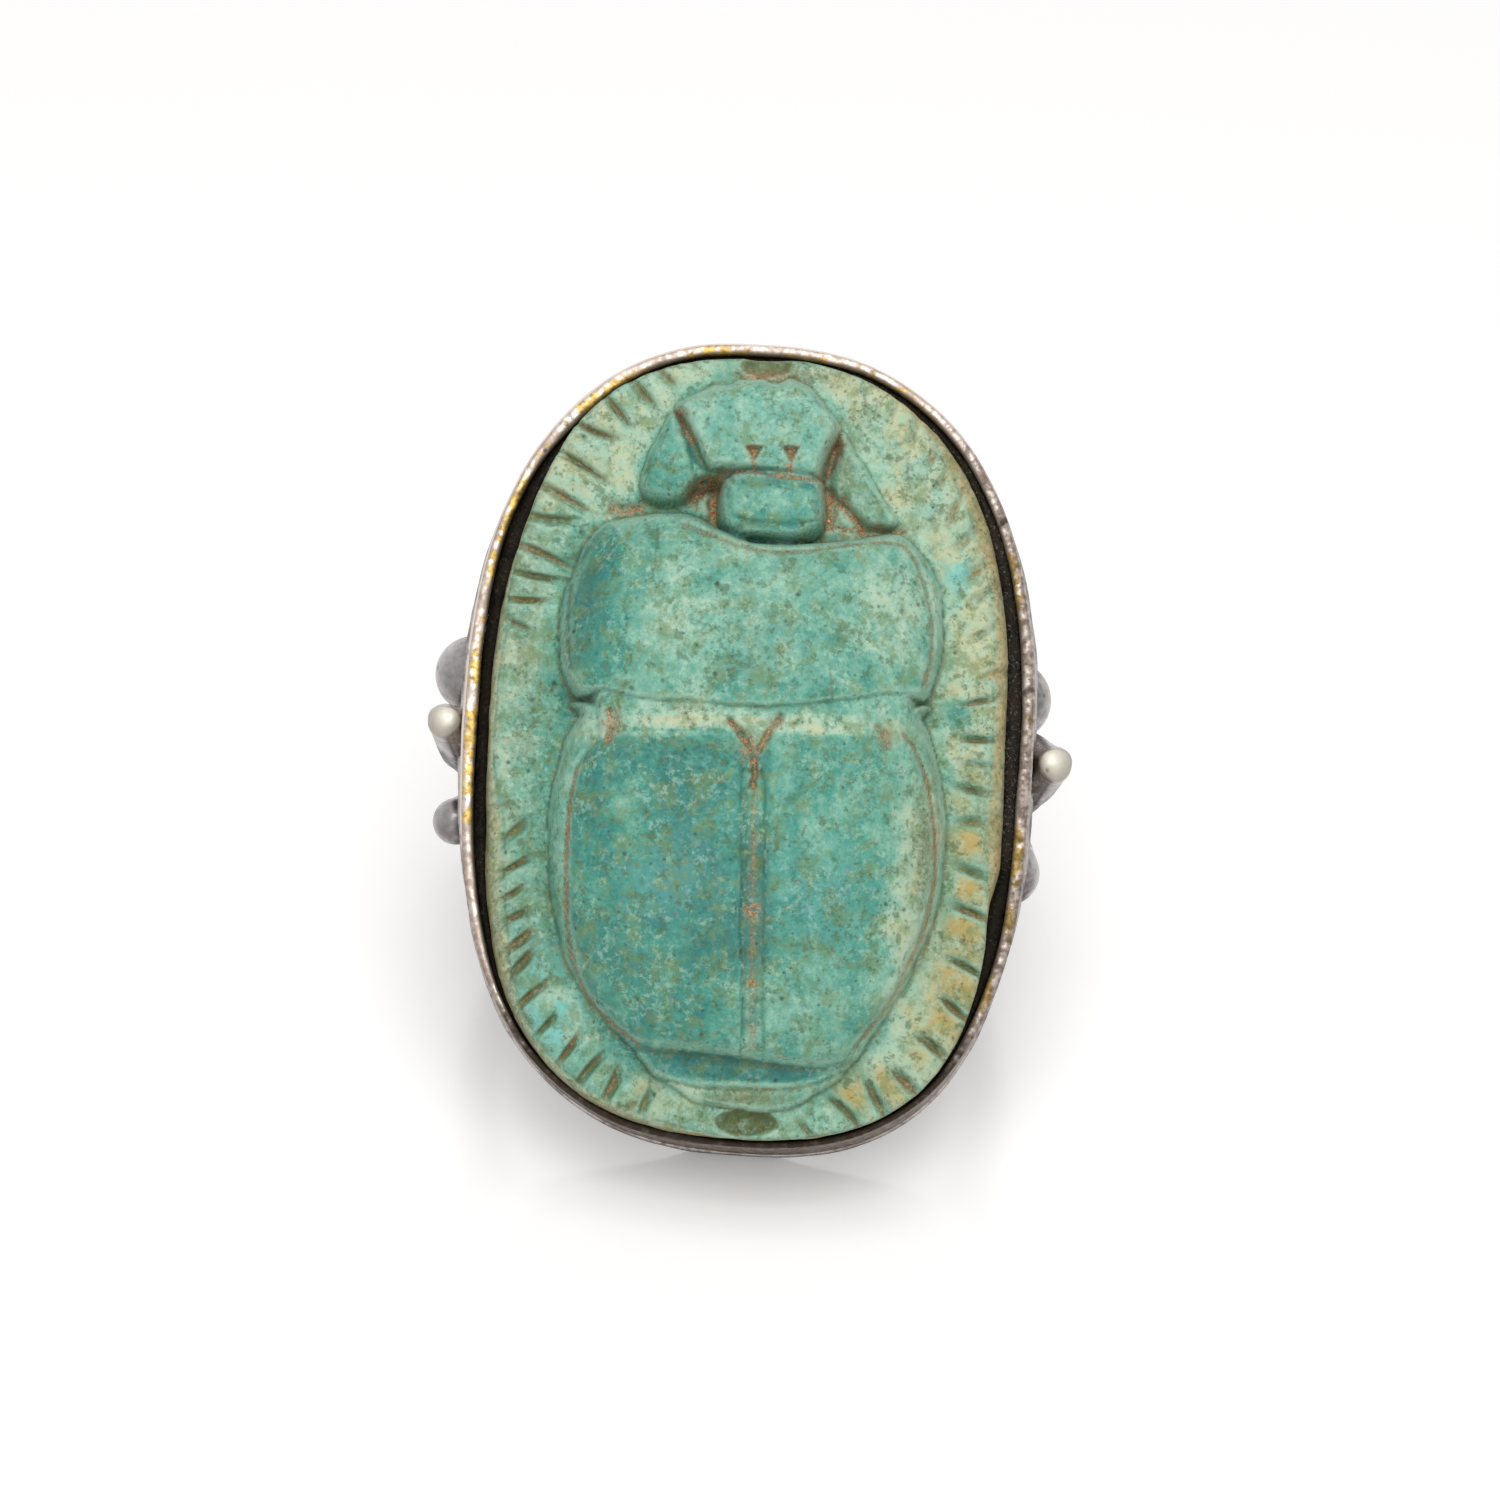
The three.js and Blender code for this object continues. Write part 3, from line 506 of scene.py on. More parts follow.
class Web:
    """A node tree being built."""

    def __init__(self, tree: bpy.types.NodeTree) -> None:
        """Takes an empty tree."""
        self.tree = tree

    def add(self, kind: str, inputs: dict | None = None, **settings: object) -> bpy.types.Node:
        """Adds a node, with its settings, and links or fills its inputs.

        Args:
            kind: The node's type.
            inputs: Sockets or plain values, by the input's name or number.
            settings: Properties of the node.

        Returns:
            The node.
        """
        node = self.tree.nodes.new(kind)
        for key, value in settings.items():
            setattr(node, key, value)
        for key, value in (inputs or {}).items():
            self.feed(node.inputs[key], value)
        return node

    def feed(self, socket: bpy.types.NodeSocket, value: object) -> None:
        """Links a socket to an input, or sets its plain value, where a colour is opaque."""
        if isinstance(value, bpy.types.NodeSocket):
            self.tree.links.new(value, socket)
        elif socket.type == "RGBA":
            socket.default_value = (*value, 1.0)
        else:
            socket.default_value = value

    def math(self, sum_name: str, a: object, b: object, clamp: bool = False) -> Socket:
        """A sum of two values, which may be held between 0 and 1."""
        node = self.add("ShaderNodeMath", {0: a, 1: b}, operation=sum_name, use_clamp=clamp)
        return node.outputs[0]

    def plus(self, a: object, b: object, clamp: bool = False) -> Socket:
        """a + b."""
        return self.math("ADD", a, b, clamp)

    def minus(self, a: object, b: object) -> Socket:
        """a - b."""
        return self.math("SUBTRACT", a, b)

    def times(self, a: object, b: object) -> Socket:
        """a * b."""
        return self.math("MULTIPLY", a, b)

    def most(self, a: object, b: object) -> Socket:
        """The larger of a and b."""
        return self.math("MAXIMUM", a, b)

    def swayed(self, value: object, by: object, amount: float) -> Socket:
        """A value pushed up and down by a pattern: value + amount * (by - 1/2)."""
        return self.plus(value, self.times(self.minus(by, 0.5), amount))

    def mix(self, share: object, a: object, b: object) -> Socket:
        """A blend of two colours."""
        return self.add("ShaderNodeMix", {0: share, 6: a, 7: b}, data_type="RGBA").outputs[2]

    def step(
        self, value: object, low: object, high: object, to_low: float = 0.0, to_high: float = 1.0
    ) -> Socket:
        """A smooth step of a value between two levels."""
        levels = {0: value, 1: low, 2: high, 3: to_low, 4: to_high}
        return self.add("ShaderNodeMapRange", levels, interpolation_type="SMOOTHSTEP").outputs[0]

    def noise(
        self,
        where: object,
        per_mm: object,
        detail: float = 3.0,
        roughness: float = 0.55,
        warp: float = 0.0,
    ) -> Socket:
        """Noise with so many lumps to a millimetre, or with a scale that a socket gives."""
        settings = {
            "Vector": where,
            "Scale": per_mm / MM if isinstance(per_mm, float) else per_mm,
            "Detail": detail,
            "Roughness": roughness,
            "Distortion": warp,
        }
        return self.add("ShaderNodeTexNoise", settings).outputs[0]

    def bump(self, height: object, strength: float, depth: float) -> Socket:
        """The normal of a relief that is so many millimetres deep."""
        settings = {"Strength": strength, "Distance": depth * MM, "Height": height}
        return self.add("ShaderNodeBump", settings).outputs[0]

    def value(self, name: str) -> Socket:
        """A value that the piece carries per point."""
        return self.add("ShaderNodeAttribute", attribute_name=name).outputs["Fac"]

    def place(self) -> Socket:
        """The place on the object, in metres."""
        return self.add("ShaderNodeTexCoord").outputs["Object"]

    def leaned(self, place: Socket, lean: float) -> Socket:
        """The place turned back by the face's lean, so that its Y runs along the face."""
        settings = {"Vector": place, "Rotation": (-lean, 0.0, 0.0)}
        return self.add("ShaderNodeMapping", settings).outputs[0]

    def ramp(self, value: object, stops: list[tuple[float, Colour]]) -> Socket:
        """A colour chosen by a value, from stops of (level, colour).

        Args:
            value: The value, from 0 to 1.
            stops: The stops, by rising level.

        Returns:
            The colour.
        """
        node = self.add("ShaderNodeValToRGB", {0: value})
        elements = node.color_ramp.elements
        while len(elements) < len(stops):
            elements.new(0.5)
        for element, (level, colour) in zip(elements, stops):
            element.position = level
            element.color = (*colour, 1.0)
        return node.outputs[0]


class Effects:
    """Shader node groups that more than one finish uses, each built once."""

    def __init__(self) -> None:
        """Builds the groups."""
        self.mottle = self._mottle()
        self.specks = self._specks()
        self.scratches = self._scratches()

    @staticmethod
    def _group(name: str, inputs: dict[str, float], output: str) -> tuple[Web, object, Socket]:
        """An empty group with a place and numbers as inputs.

        Args:
            name: The group's name.
            inputs: Each number's name and the value that it starts with.
            output: The name of the number that it puts out.

        Returns:
            Its tree, the sockets of its inputs by name, and the socket that takes its output.
        """
        tree = bpy.data.node_groups.new(name, "ShaderNodeTree")
        tree.interface.new_socket("Place", in_out="INPUT", socket_type="NodeSocketVector")
        for label, start in inputs.items():
            made = tree.interface.new_socket(label, in_out="INPUT", socket_type="NodeSocketFloat")
            made.default_value = start
        tree.interface.new_socket(output, in_out="OUTPUT", socket_type="NodeSocketFloat")
        web = Web(tree)
        start, end = web.add("NodeGroupInput"), web.add("NodeGroupOutput")
        return web, start.outputs, end.inputs[output]

    def _mottle(self) -> bpy.types.NodeTree:
        """Cloudy variation from 0 to 1: broad noise, sharpened round a half."""
        web, given, end = self._group("mottle", {"Per Metre": 500.0, "Contrast": 2.0}, "Cloud")
        cloud = web.noise(given["Place"], given["Per Metre"], 5.0, 0.6)
        spread = web.times(web.minus(cloud, 0.5), given["Contrast"])
        web.feed(end, web.plus(spread, 0.5, clamp=True))
        return web.tree

    def _specks(self) -> bpy.types.NodeTree:
        """Scattered specks: small cells, kept where a random value passes a level."""
        starts = {"Per Metre": 3000.0, "Kept": 0.2, "Size": 0.3}
        web, given, end = self._group("specks", starts, "Speck")
        settings = {"Vector": given["Place"], "Scale": given["Per Metre"]}
        cells = web.add("ShaderNodeTexVoronoi", settings)
        tone = web.add("ShaderNodeSeparateColor", {0: cells.outputs["Color"]}).outputs[0]
        kept = web.math("LESS_THAN", tone, given["Kept"])
        near = web.step(cells.outputs["Distance"], given["Size"], 0.0)
        web.feed(end, web.times(kept, near))
        return web.tree

    def _scratches(self) -> bpy.types.NodeTree:
        """Fine rubbed lines: noise drawn out along one direction of the place given."""
        web, given, end = self._group("scratches", {"Per Metre": 4000.0, "Level": 0.6}, "Line")
        settings = {"Vector": given["Place"], "Scale": (1.0, 0.06, 1.0)}
        drawn = web.add("ShaderNodeMapping", settings).outputs[0]
        streak = web.noise(drawn, given["Per Metre"], 2.0, 0.5, 0.4)
        web.feed(end, web.step(streak, given["Level"], 0.85))
        return web.tree


def new_material(name: str) -> tuple[bpy.types.Material, Web, bpy.types.Node]:
    """An empty node material, its tree and its Principled shader.

    Args:
        name: The material's name, which is its slot's.

    Returns:
        The material, its tree and its shader.
    """
    material = bpy.data.materials.new(name)
    material.use_nodes = True
    tree = material.node_tree
    tree.nodes.clear()
    web = Web(tree)
    shader = web.add("ShaderNodeBsdfPrincipled")
    web.add("ShaderNodeOutputMaterial", {"Surface": shader.outputs[0]})
    return material, web, shader


def use(web: Web, group: bpy.types.NodeTree, **inputs: object) -> Socket:
    """Places a shared group and returns its first output."""
    node = web.add("ShaderNodeGroup", node_tree=group)
    for key, value in inputs.items():
        web.feed(node.inputs[key.replace("_", " ").title()], value)
    return node.outputs[0]


@dataclass(frozen=True)
class GlazeFinish:
    """Worn turquoise glaze over pale stone, with earth in its cuts."""

    cream: Colour = (0.54, 0.565, 0.345)
    pale: Colour = (0.41, 0.595, 0.445)
    green: Colour = (0.19, 0.44, 0.33)
    teal: Colour = (0.062, 0.295, 0.228)
    blue: Colour = (0.028, 0.19, 0.17)
    cyan: Colour = (0.20, 0.54, 0.48)
    ochre: Colour = (0.48, 0.35, 0.11)
    moss: Colour = (0.125, 0.13, 0.045)
    mould: Colour = (0.075, 0.145, 0.06)
    stain: Colour = (0.155, 0.235, 0.085)
    rust: Colour = (0.23, 0.15, 0.06)
    frost: Colour = (0.43, 0.66, 0.51)
    earth: Colour = (0.28, 0.11, 0.04)
    sand: Colour = (0.62, 0.33, 0.16)
    crumb: Colour = (0.78, 0.72, 0.60)
    soot: Colour = (0.016, 0.022, 0.011)
    roughness: float = 0.42

    def make(self, effects: Effects, lean: float) -> bpy.types.Material:
        """Builds the material.

        Args:
            effects: The shared groups.
            lean: The angle by which the face leans back, in radians, to run the scratches.

        Returns:
            The material, which reads the carving's values per point.
        """
        material, web, shader = new_material("glazed_steatite")
        place = web.place()
        turned = web.leaned(place, lean)
        cloud = use(web, effects.mottle, place=place, per_metre=420.0, contrast=2.2)
        patch = use(web, effects.mottle, place=place, per_metre=950.0, contrast=2.8)
        fine = use(web, effects.mottle, place=place, per_metre=2800.0, contrast=2.6)
        grit = web.noise(place, 9.0, 3.0, 0.75)

        # Tone runs from cream through turquoise to blue.
        tone = web.value("tone")
        for pattern, amount in ((cloud, 0.3), (patch, 0.3), (fine, 0.22), (grit, 0.5)):
            tone = web.swayed(tone, pattern, amount)
        streaks = use(web, effects.scratches, place=turned, per_metre=1500.0, level=0.45)
        tone = web.plus(tone, web.times(streaks, 0.12), clamp=True)
        stops = [(0.0, self.cream), (0.2, self.pale), (0.45, self.green), (0.72, self.teal)]
        colour = web.ramp(tone, [*stops, (1.0, self.blue)])
        cyan = web.times(web.value("cyan"), web.step(patch, 0.15, 0.65))
        colour = web.mix(cyan, colour, self.cyan)

        # Ochre stains the worn border in blotches, moss the cuts and other patches.
        blotch = use(web, effects.mottle, place=place, per_metre=1300.0, contrast=3.0)
        ochre = web.times(web.value("ochre"), web.step(blotch, -0.4, 0.6))
        colour = web.mix(ochre, colour, self.ochre)
        crumbly = web.step(web.noise(place, 3.2, 5.0, 0.75), 0.38, 0.56)
        moss = web.times(web.value("moss"), crumbly)
        moss = web.most(moss, web.step(web.value("moss"), 0.5, 1.0, 0.0, 0.85))
        colour = web.mix(moss, colour, self.moss)

        # Olive stains in broad, torn patches; mould in clusters of small dark-green dots.
        torn = web.step(web.noise(place, 1.5, 6.0, 0.72), 0.48, 0.62)
        colour = web.mix(web.times(torn, 0.62), colour, self.stain)
        cluster = web.step(web.noise(place, 0.6, 3.0, 0.6), 0.44, 0.62)
        dotted = web.step(web.noise(place, 5.5, 4.0, 0.72), 0.5, 0.66)
        mould = web.times(web.times(cluster, dotted), 0.7)
        blots = web.step(web.noise(place, 2.2, 5.0, 0.68), 0.555, 0.65)
        mould = web.most(mould, web.times(blots, 0.68))
        colour = web.mix(mould, colour, self.mould)
        rusty = web.step(web.noise(place, 1.9, 4.0, 0.72), 0.63, 0.7)
        colour = web.mix(web.times(rusty, 0.5), colour, self.rust)

        # Pale frosting, and pale rubbed edges.
        frosted = web.step(web.noise(place, 4.2, 5.0, 0.75), 0.49, 0.62)
        patchy = web.step(web.noise(place, 0.8, 4.0, 0.6), 0.38, 0.62)
        rubbed = web.times(web.times(frosted, patchy), 0.46)
        edges = web.times(web.value("wear"), web.step(grit, 0.3, 0.6))
        rubbed = web.most(rubbed, edges)
        colour = web.mix(rubbed, colour, self.frost)

        # Earth with sand and white crumbs lies in the cuts, soot in specks all over.
        gritty = web.step(web.noise(place, 6.0, 4.0, 0.75), 0.38, 0.54)
        earth = web.times(web.value("dirt"), gritty)
        grains = web.step(web.noise(place, 13.0, 2.0), 0.4, 0.6)
        sandy = web.mix(grains, self.earth, self.sand)
        crumbs = use(web, effects.specks, place=place, per_metre=7000.0, kept=0.14, size=0.42)
        sandy = web.mix(crumbs, sandy, self.crumb)
        colour = web.mix(earth, colour, sandy)
        soot = use(web, effects.specks, place=place, per_metre=1500.0, kept=0.14, size=0.2)
        dots = use(web, effects.specks, place=place, per_metre=4200.0, kept=0.15, size=0.34)
        soot = web.most(soot, web.times(dots, 0.75))
        colour = web.mix(web.times(soot, 0.8), colour, self.soot)

        height = web.plus(web.times(grit, 0.6), web.times(fine, 0.8))
        height = web.minus(height, web.times(streaks, 0.2))
        height = web.minus(height, web.times(soot, 0.7))
        height = web.minus(height, web.times(mould, 0.6))
        web.feed(shader.inputs["Base Color"], colour)
        rough = web.step(fine, 0.0, 1.0, self.roughness, self.roughness + 0.25)
        rough = web.plus(rough, web.times(earth, 0.35), clamp=True)
        web.feed(shader.inputs["Roughness"], rough)
        web.feed(shader.inputs["Normal"], web.bump(height, 0.7, 0.05))
        shader.inputs["Specular IOR Level"].default_value = 0.35
        return material


@dataclass(frozen=True)
class PitchFinish:
    """Black setting pitch, gritty, with pale crumbs in it."""

    black: Colour = (0.006, 0.005, 0.004)
    brown: Colour = (0.03, 0.022, 0.012)
    crumb: Colour = (0.28, 0.26, 0.22)

    def make(self, effects: Effects) -> bpy.types.Material:
        """Builds the material.

        Args:
            effects: The shared groups.

        Returns:
            The material, which reads the pitch's value "grit" per point.
        """
        material, web, shader = new_material("black_pitch")
        place = web.place()
        cloud = use(web, effects.mottle, place=place, per_metre=1500.0, contrast=2.5)
        crumbs = web.step(web.noise(place, 8.0, 4.0, 0.8), 0.52, 0.68)
        crumbs = web.times(crumbs, web.value("grit"))
        colour = web.mix(cloud, self.black, self.brown)
        colour = web.mix(crumbs, colour, self.crumb)
        height = web.plus(web.noise(place, 3.5, 4.0, 0.7), web.times(crumbs, 0.5))
        web.feed(shader.inputs["Base Color"], colour)
        web.feed(shader.inputs["Roughness"], web.step(cloud, 0.0, 1.0, 0.6, 0.9))
        web.feed(shader.inputs["Normal"], web.bump(height, 0.9, 0.12))
        shader.inputs["Specular IOR Level"].default_value = 0.2
        return material


@dataclass(frozen=True)
class SilverFinish:
    """Old silver: a metal tone under a mottled tarnish, with gilding where it is left.

    Attributes:
        name: The material's name, which is its slot's.
        metal: The bare metal.
        tarnish: The tarnish over it.
        hollow: The dark colour of dirt in hollows, also used for painted shade and the painted dark
            reflection.
        roughness: The least and the most roughness.
        tarnish_level: Where the tarnish starts; higher is less of it.
        gilding: The gold, where the piece has any.
        rubbed: The bare tips and edges.
        blotches: The share of broad clouds in the tarnish.
        painted_dark_reflection: How much darker the colour is painted where the face looks at the
            viewer: a painted dark reflection.
        thin_leaf: How bright the gold is where it has worn thin.
    """

    name: str
    metal: Colour
    tarnish: Colour
    hollow: Colour
    roughness: tuple[float, float]
    tarnish_level: float
    gilding: Colour | None = None
    rubbed: Colour = (0.60, 0.57, 0.51)
    blotches: float = 0.65
    painted_dark_reflection: float = 0.0
    thin_leaf: float = 0.42

    def make(self, effects: Effects, lean: float) -> bpy.types.Material:
        """Builds the material.

        Args:
            effects: The shared groups.
            lean: The angle by which the face leans back, in radians.

        Returns:
            The material. Its piece may carry the values "hollow", "gilt" and "rubbed".
        """
        material, web, shader = new_material(self.name)
        place = web.place()
        turned = web.leaned(place, lean)
        cloud = use(web, effects.mottle, place=place, per_metre=650.0, contrast=2.2)
        fine = use(web, effects.mottle, place=place, per_metre=3800.0, contrast=2.4)
        lines = use(web, effects.scratches, place=turned, per_metre=3500.0, level=0.58)
        spots = use(web, effects.specks, place=place, per_metre=2600.0, kept=0.14, size=0.35)

        shade = web.plus(web.times(cloud, self.blotches), web.times(fine, 1 - self.blotches))
        shade = web.step(shade, self.tarnish_level - 0.25, self.tarnish_level + 0.25)
        colour = web.mix(shade, self.metal, self.tarnish)
        # Painted dark reflection: where the face looks at the viewer, the colour is darkened
        # towards the hollow colour; grazing edges stay lighter.
        if self.painted_dark_reflection:
            facing = web.add("ShaderNodeLayerWeight", {"Blend": 0.5}).outputs["Facing"]
            middle = web.times(web.step(facing, 0.85, 0.15), self.painted_dark_reflection)
            colour = web.mix(middle, colour, self.hollow)
        if self.gilding:
            flake = web.swayed(web.value("gilt"), fine, 0.9)
            gold = web.step(web.swayed(flake, cloud, 0.7), 0.5, 0.68)
            worn = tuple(self.thin_leaf * part for part in self.gilding)
            whole = web.step(web.noise(place, 5.0, 4.0, 0.75), 0.36, 0.6)
            leaf = web.mix(whole, worn, self.gilding)
            colour = web.mix(web.times(gold, 0.9), colour, leaf)
        tip = web.step(web.swayed(web.value("rubbed"), fine, 0.3), 0.45, 0.55)
        colour = web.mix(tip, colour, self.rubbed)
        # The "hollow" value darkens towards the hollow colour: dirt in hollows, and painted shade
        # where a piece sets it for that.
        dark = web.step(web.swayed(web.value("hollow"), fine, 0.3), 0.1, 0.85)
        dark = web.most(dark, web.times(spots, 0.8))
        colour = web.mix(dark, colour, self.hollow)

        height = web.plus(web.times(fine, 0.4), web.times(cloud, 0.5))
        height = web.minus(height, web.times(lines, 0.3))
        height = web.minus(height, web.times(spots, 0.5))
        rough = web.plus(web.times(shade, 0.6), web.times(fine, 0.4))
        rough = web.step(rough, 0.0, 1.0, *self.roughness)
        rough = web.plus(rough, web.times(web.plus(dark, tip), 0.3), clamp=True)
        web.feed(shader.inputs["Base Color"], colour)
        web.feed(shader.inputs["Metallic"], web.minus(1.0, web.times(dark, 0.55)))
        web.feed(shader.inputs["Roughness"], rough)
        web.feed(shader.inputs["Normal"], web.bump(height, 0.35, 0.03))
        return material


@dataclass
class Finishes:
    """Every finish of the ring, made once."""

    lean: float
    effects: Effects = field(default_factory=Effects)

    def __post_init__(self) -> None:
        """Builds the materials."""
        self.glaze = GlazeFinish().make(self.effects, self.lean)
        self.pitch = PitchFinish().make(self.effects)
        self.gilt = SilverFinish(
            name="worn_silver_gilt",
            metal=(0.52, 0.455, 0.41),
            tarnish=(0.32, 0.255, 0.215),
            hollow=(0.045, 0.03, 0.018),
            roughness=(0.36, 0.56),
            tarnish_level=0.45,
            gilding=(0.60, 0.41, 0.12),
            rubbed=(0.70, 0.64, 0.59),
            blotches=0.35,
        ).make(self.effects, self.lean)
        self.dull = SilverFinish(
            name="tarnished_silver",
            metal=(0.50, 0.47, 0.44),
            tarnish=(0.24, 0.21, 0.20),
            hollow=(0.03, 0.027, 0.025),
            roughness=(0.22, 0.45),
            tarnish_level=0.55,
        ).make(self.effects, self.lean)
        self.bright = SilverFinish(
            name="polished_silver",
            metal=(0.62, 0.59, 0.58),
            tarnish=(0.42, 0.395, 0.39),
            hollow=(0.045, 0.04, 0.04),
            roughness=(0.22, 0.32),
            tarnish_level=0.5,
            rubbed=(0.50, 0.475, 0.41),
            painted_dark_reflection=0.5,
        ).make(self.effects, self.lean)


# The scarab


@dataclass(frozen=True)
class Cut:
    """A line cut into the carving.

    Attributes:
        points: Its run, in the beetle's frame.
        width: Half its width.
        depth: How deep it is.
        dirt: How much earth lies in it, from 0 to 1.
        deep: How much darker the glaze is in it.
    """

    points: list[tuple[float, float]]
    width: float
    depth: float
    dirt: float = 0.0
    deep: float = 0.3


@dataclass(frozen=True)
class Patch:
    """A soft-edged patch of the glaze, in the beetle's frame, turned by so many degrees."""

    x: float
    y: float
    half_width: float
    half_length: float
    strength: float
    turn: float = 0.0


@dataclass(frozen=True)
class Spots:
    """Places on the stone.

    Attributes:
        x: Across, in the ring's frame.
        y: Along, in the ring's frame.
        bx: Across, in the beetle's own frame.
        by: Along, in the beetle's own frame.
        flat: x, y and a height of 0, for the noise.
    """

    x: np.ndarray
    y: np.ndarray
    bx: np.ndarray
    by: np.ndarray
    flat: np.ndarray


SHIELD = [
    (-5.1, 7.33), (-4.45, 7.6), (-3.14, 7.79), (-2.15, 7.72), (-1.15, 7.2), (-0.16, 6.87),
    (1.16, 6.7), (2.47, 6.82), (3.78, 7.03), (4.77, 7.11), (5.27, 6.82), (5.77, 6.33), (6.18, 5.35),
    (6.29, 4.04), (6.24, 3.05), (5.99, 2.06), (5.57, 1.46), (4.19, 1.31), (2.88, 1.09),
    (1.24, 0.87), (-0.41, 0.82), (-2.05, 0.93), (-3.7, 1.13), (-5.02, 1.41), (-5.84, 1.5),
    (-6.35, 2.38), (-6.5, 3.53), (-6.38, 4.85), (-6.07, 5.67), (-5.65, 6.67),
]
WINGS = [
    (-5.2, 1.5), (-5.85, 0.92), (-6.36, -0.13), (-6.7, -1.69), (-6.78, -3.26), (-6.66, -5.08),
    (-6.35, -6.63), (-5.8, -7.8), (-5.02, -8.82), (-4.28, -9.73), (-3.62, -10.24), (-1.9, -10.28),
    (-0.6, -10.45), (0.94, -10.69), (2.11, -10.76), (3, -10.7), (3.55, -10.4), (3.95, -9.87),
    (4.81, -8.43), (5.45, -7.25), (6.02, -5.94), (6.32, -4.63), (6.46, -3.07), (6.34, -1.51),
    (6.07, -0.21), (5.6, 0.95), (5, 1.5),
]
LEFT_PANEL = [
    (-5.3, -0.2), (-4.9, 0.1), (-4.3, 0.33), (-0.75, 0.32), (-0.4, -0.02), (-0.22, -0.6),
    (-0.33, -1.5), (-0.3, -4), (-0.28, -7), (-0.24, -10.1), (-0.7, -10.35), (-3.55, -10.12),
    (-4.94, -8.95), (-5.67, -7.92), (-6.02, -6.63), (-6.14, -5.07), (-6.14, -3.38), (-6.02, -1.9),
    (-5.8, -0.9),
]
RIGHT_PANEL = [
    (0.75, 0.34), (4.2, 0.42), (4.85, 0.3), (5.3, -0.1), (5.7, -1), (5.97, -2.56), (6.05, -4.12),
    (5.75, -5.81), (5.31, -6.99), (4.56, -8.56), (3.45, -10), (2.9, -10.68), (0.7, -10.55),
    (0.46, -10.1), (0.4, -7), (0.38, -4), (0.36, -1.6), (0.2, -0.66), (0.4, -0.02),
]
HEAD = [
    (-2.79, 11.28), (-2.3, 11.66), (-1.45, 12.05), (-0.95, 12.1), (-0.63, 12.24), (-0.2, 12.28),
    (0.22, 12.33), (0.45, 12.2), (0.68, 12.17), (1, 12.3), (1.2, 12.27), (1.57, 12.13),
    (1.85, 11.95), (2.05, 11.75), (2.41, 11.19), (2.75, 10.7), (2.62, 10.24), (2.3, 9.4),
    (2.05, 8.8), (1, 8.8), (0, 8.92), (-1, 8.98), (-1.6, 9), (-1.9, 9.35), (-2.2, 10.1),
    (-2.5, 10.75),
]
SADDLE = [
    (-3, 9.2), (-2.8, 10.4), (-2, 11.3), (-1, 11.6), (1.6, 11.6), (2.3, 10.6), (2.4, 9.3),
    (1.8, 8.7), (0, 8.6), (-1.6, 8.5), (-2.6, 8.5),
]
LEFT_CHEEK = [
    (-2.79, 11.2), (-3.25, 10.55), (-3.7, 9.6), (-3.9, 8.9), (-3.85, 8.4), (-3.5, 8.05),
    (-2.97, 7.95), (-2.4, 8.05), (-2.02, 8.45), (-1.85, 8.95), (-1.98, 9.6), (-2.3, 10.4),
]
RIGHT_CHEEK = [
    (2.81, 10.57), (3.3, 9.9), (3.8, 9.1), (4.3, 8.3), (4.75, 7.6), (4.5, 7.35), (3.7, 7.35),
    (3.2, 7.85), (2.75, 8.3), (2.45, 8.85), (2.6, 9.6),
]
COLLAR = [
    (-1.2, 8.92), (-0.3, 9.02), (1, 8.92), (1.95, 8.82), (2.28, 8.45), (2.34, 7.95), (2.15, 7.15),
    (1.15, 6.88), (-0.1, 6.92), (-0.95, 7.27), (-1.22, 8),
]
UPPER_LEDGE = [
    (-3.6, -9.9), (-3.3, -10.8), (-2.82, -11.15), (-1.78, -11.36), (-0.48, -11.42), (0.95, -11.42),
    (1.86, -11.3), (2.7, -11), (3.45, -10.4), (3, -9.8), (0, -9.6),
]
LOWER_LEDGE = [
    (-3.3, -10.6), (-2.82, -11.15), (-2.3, -11.5), (-1.78, -11.76), (-0.47, -12.05), (0.7, -12.12),
    (1.61, -11.88), (2.2, -11.5), (3.1, -10.8), (2, -10.2), (0, -10), (-2, -10.2),
]


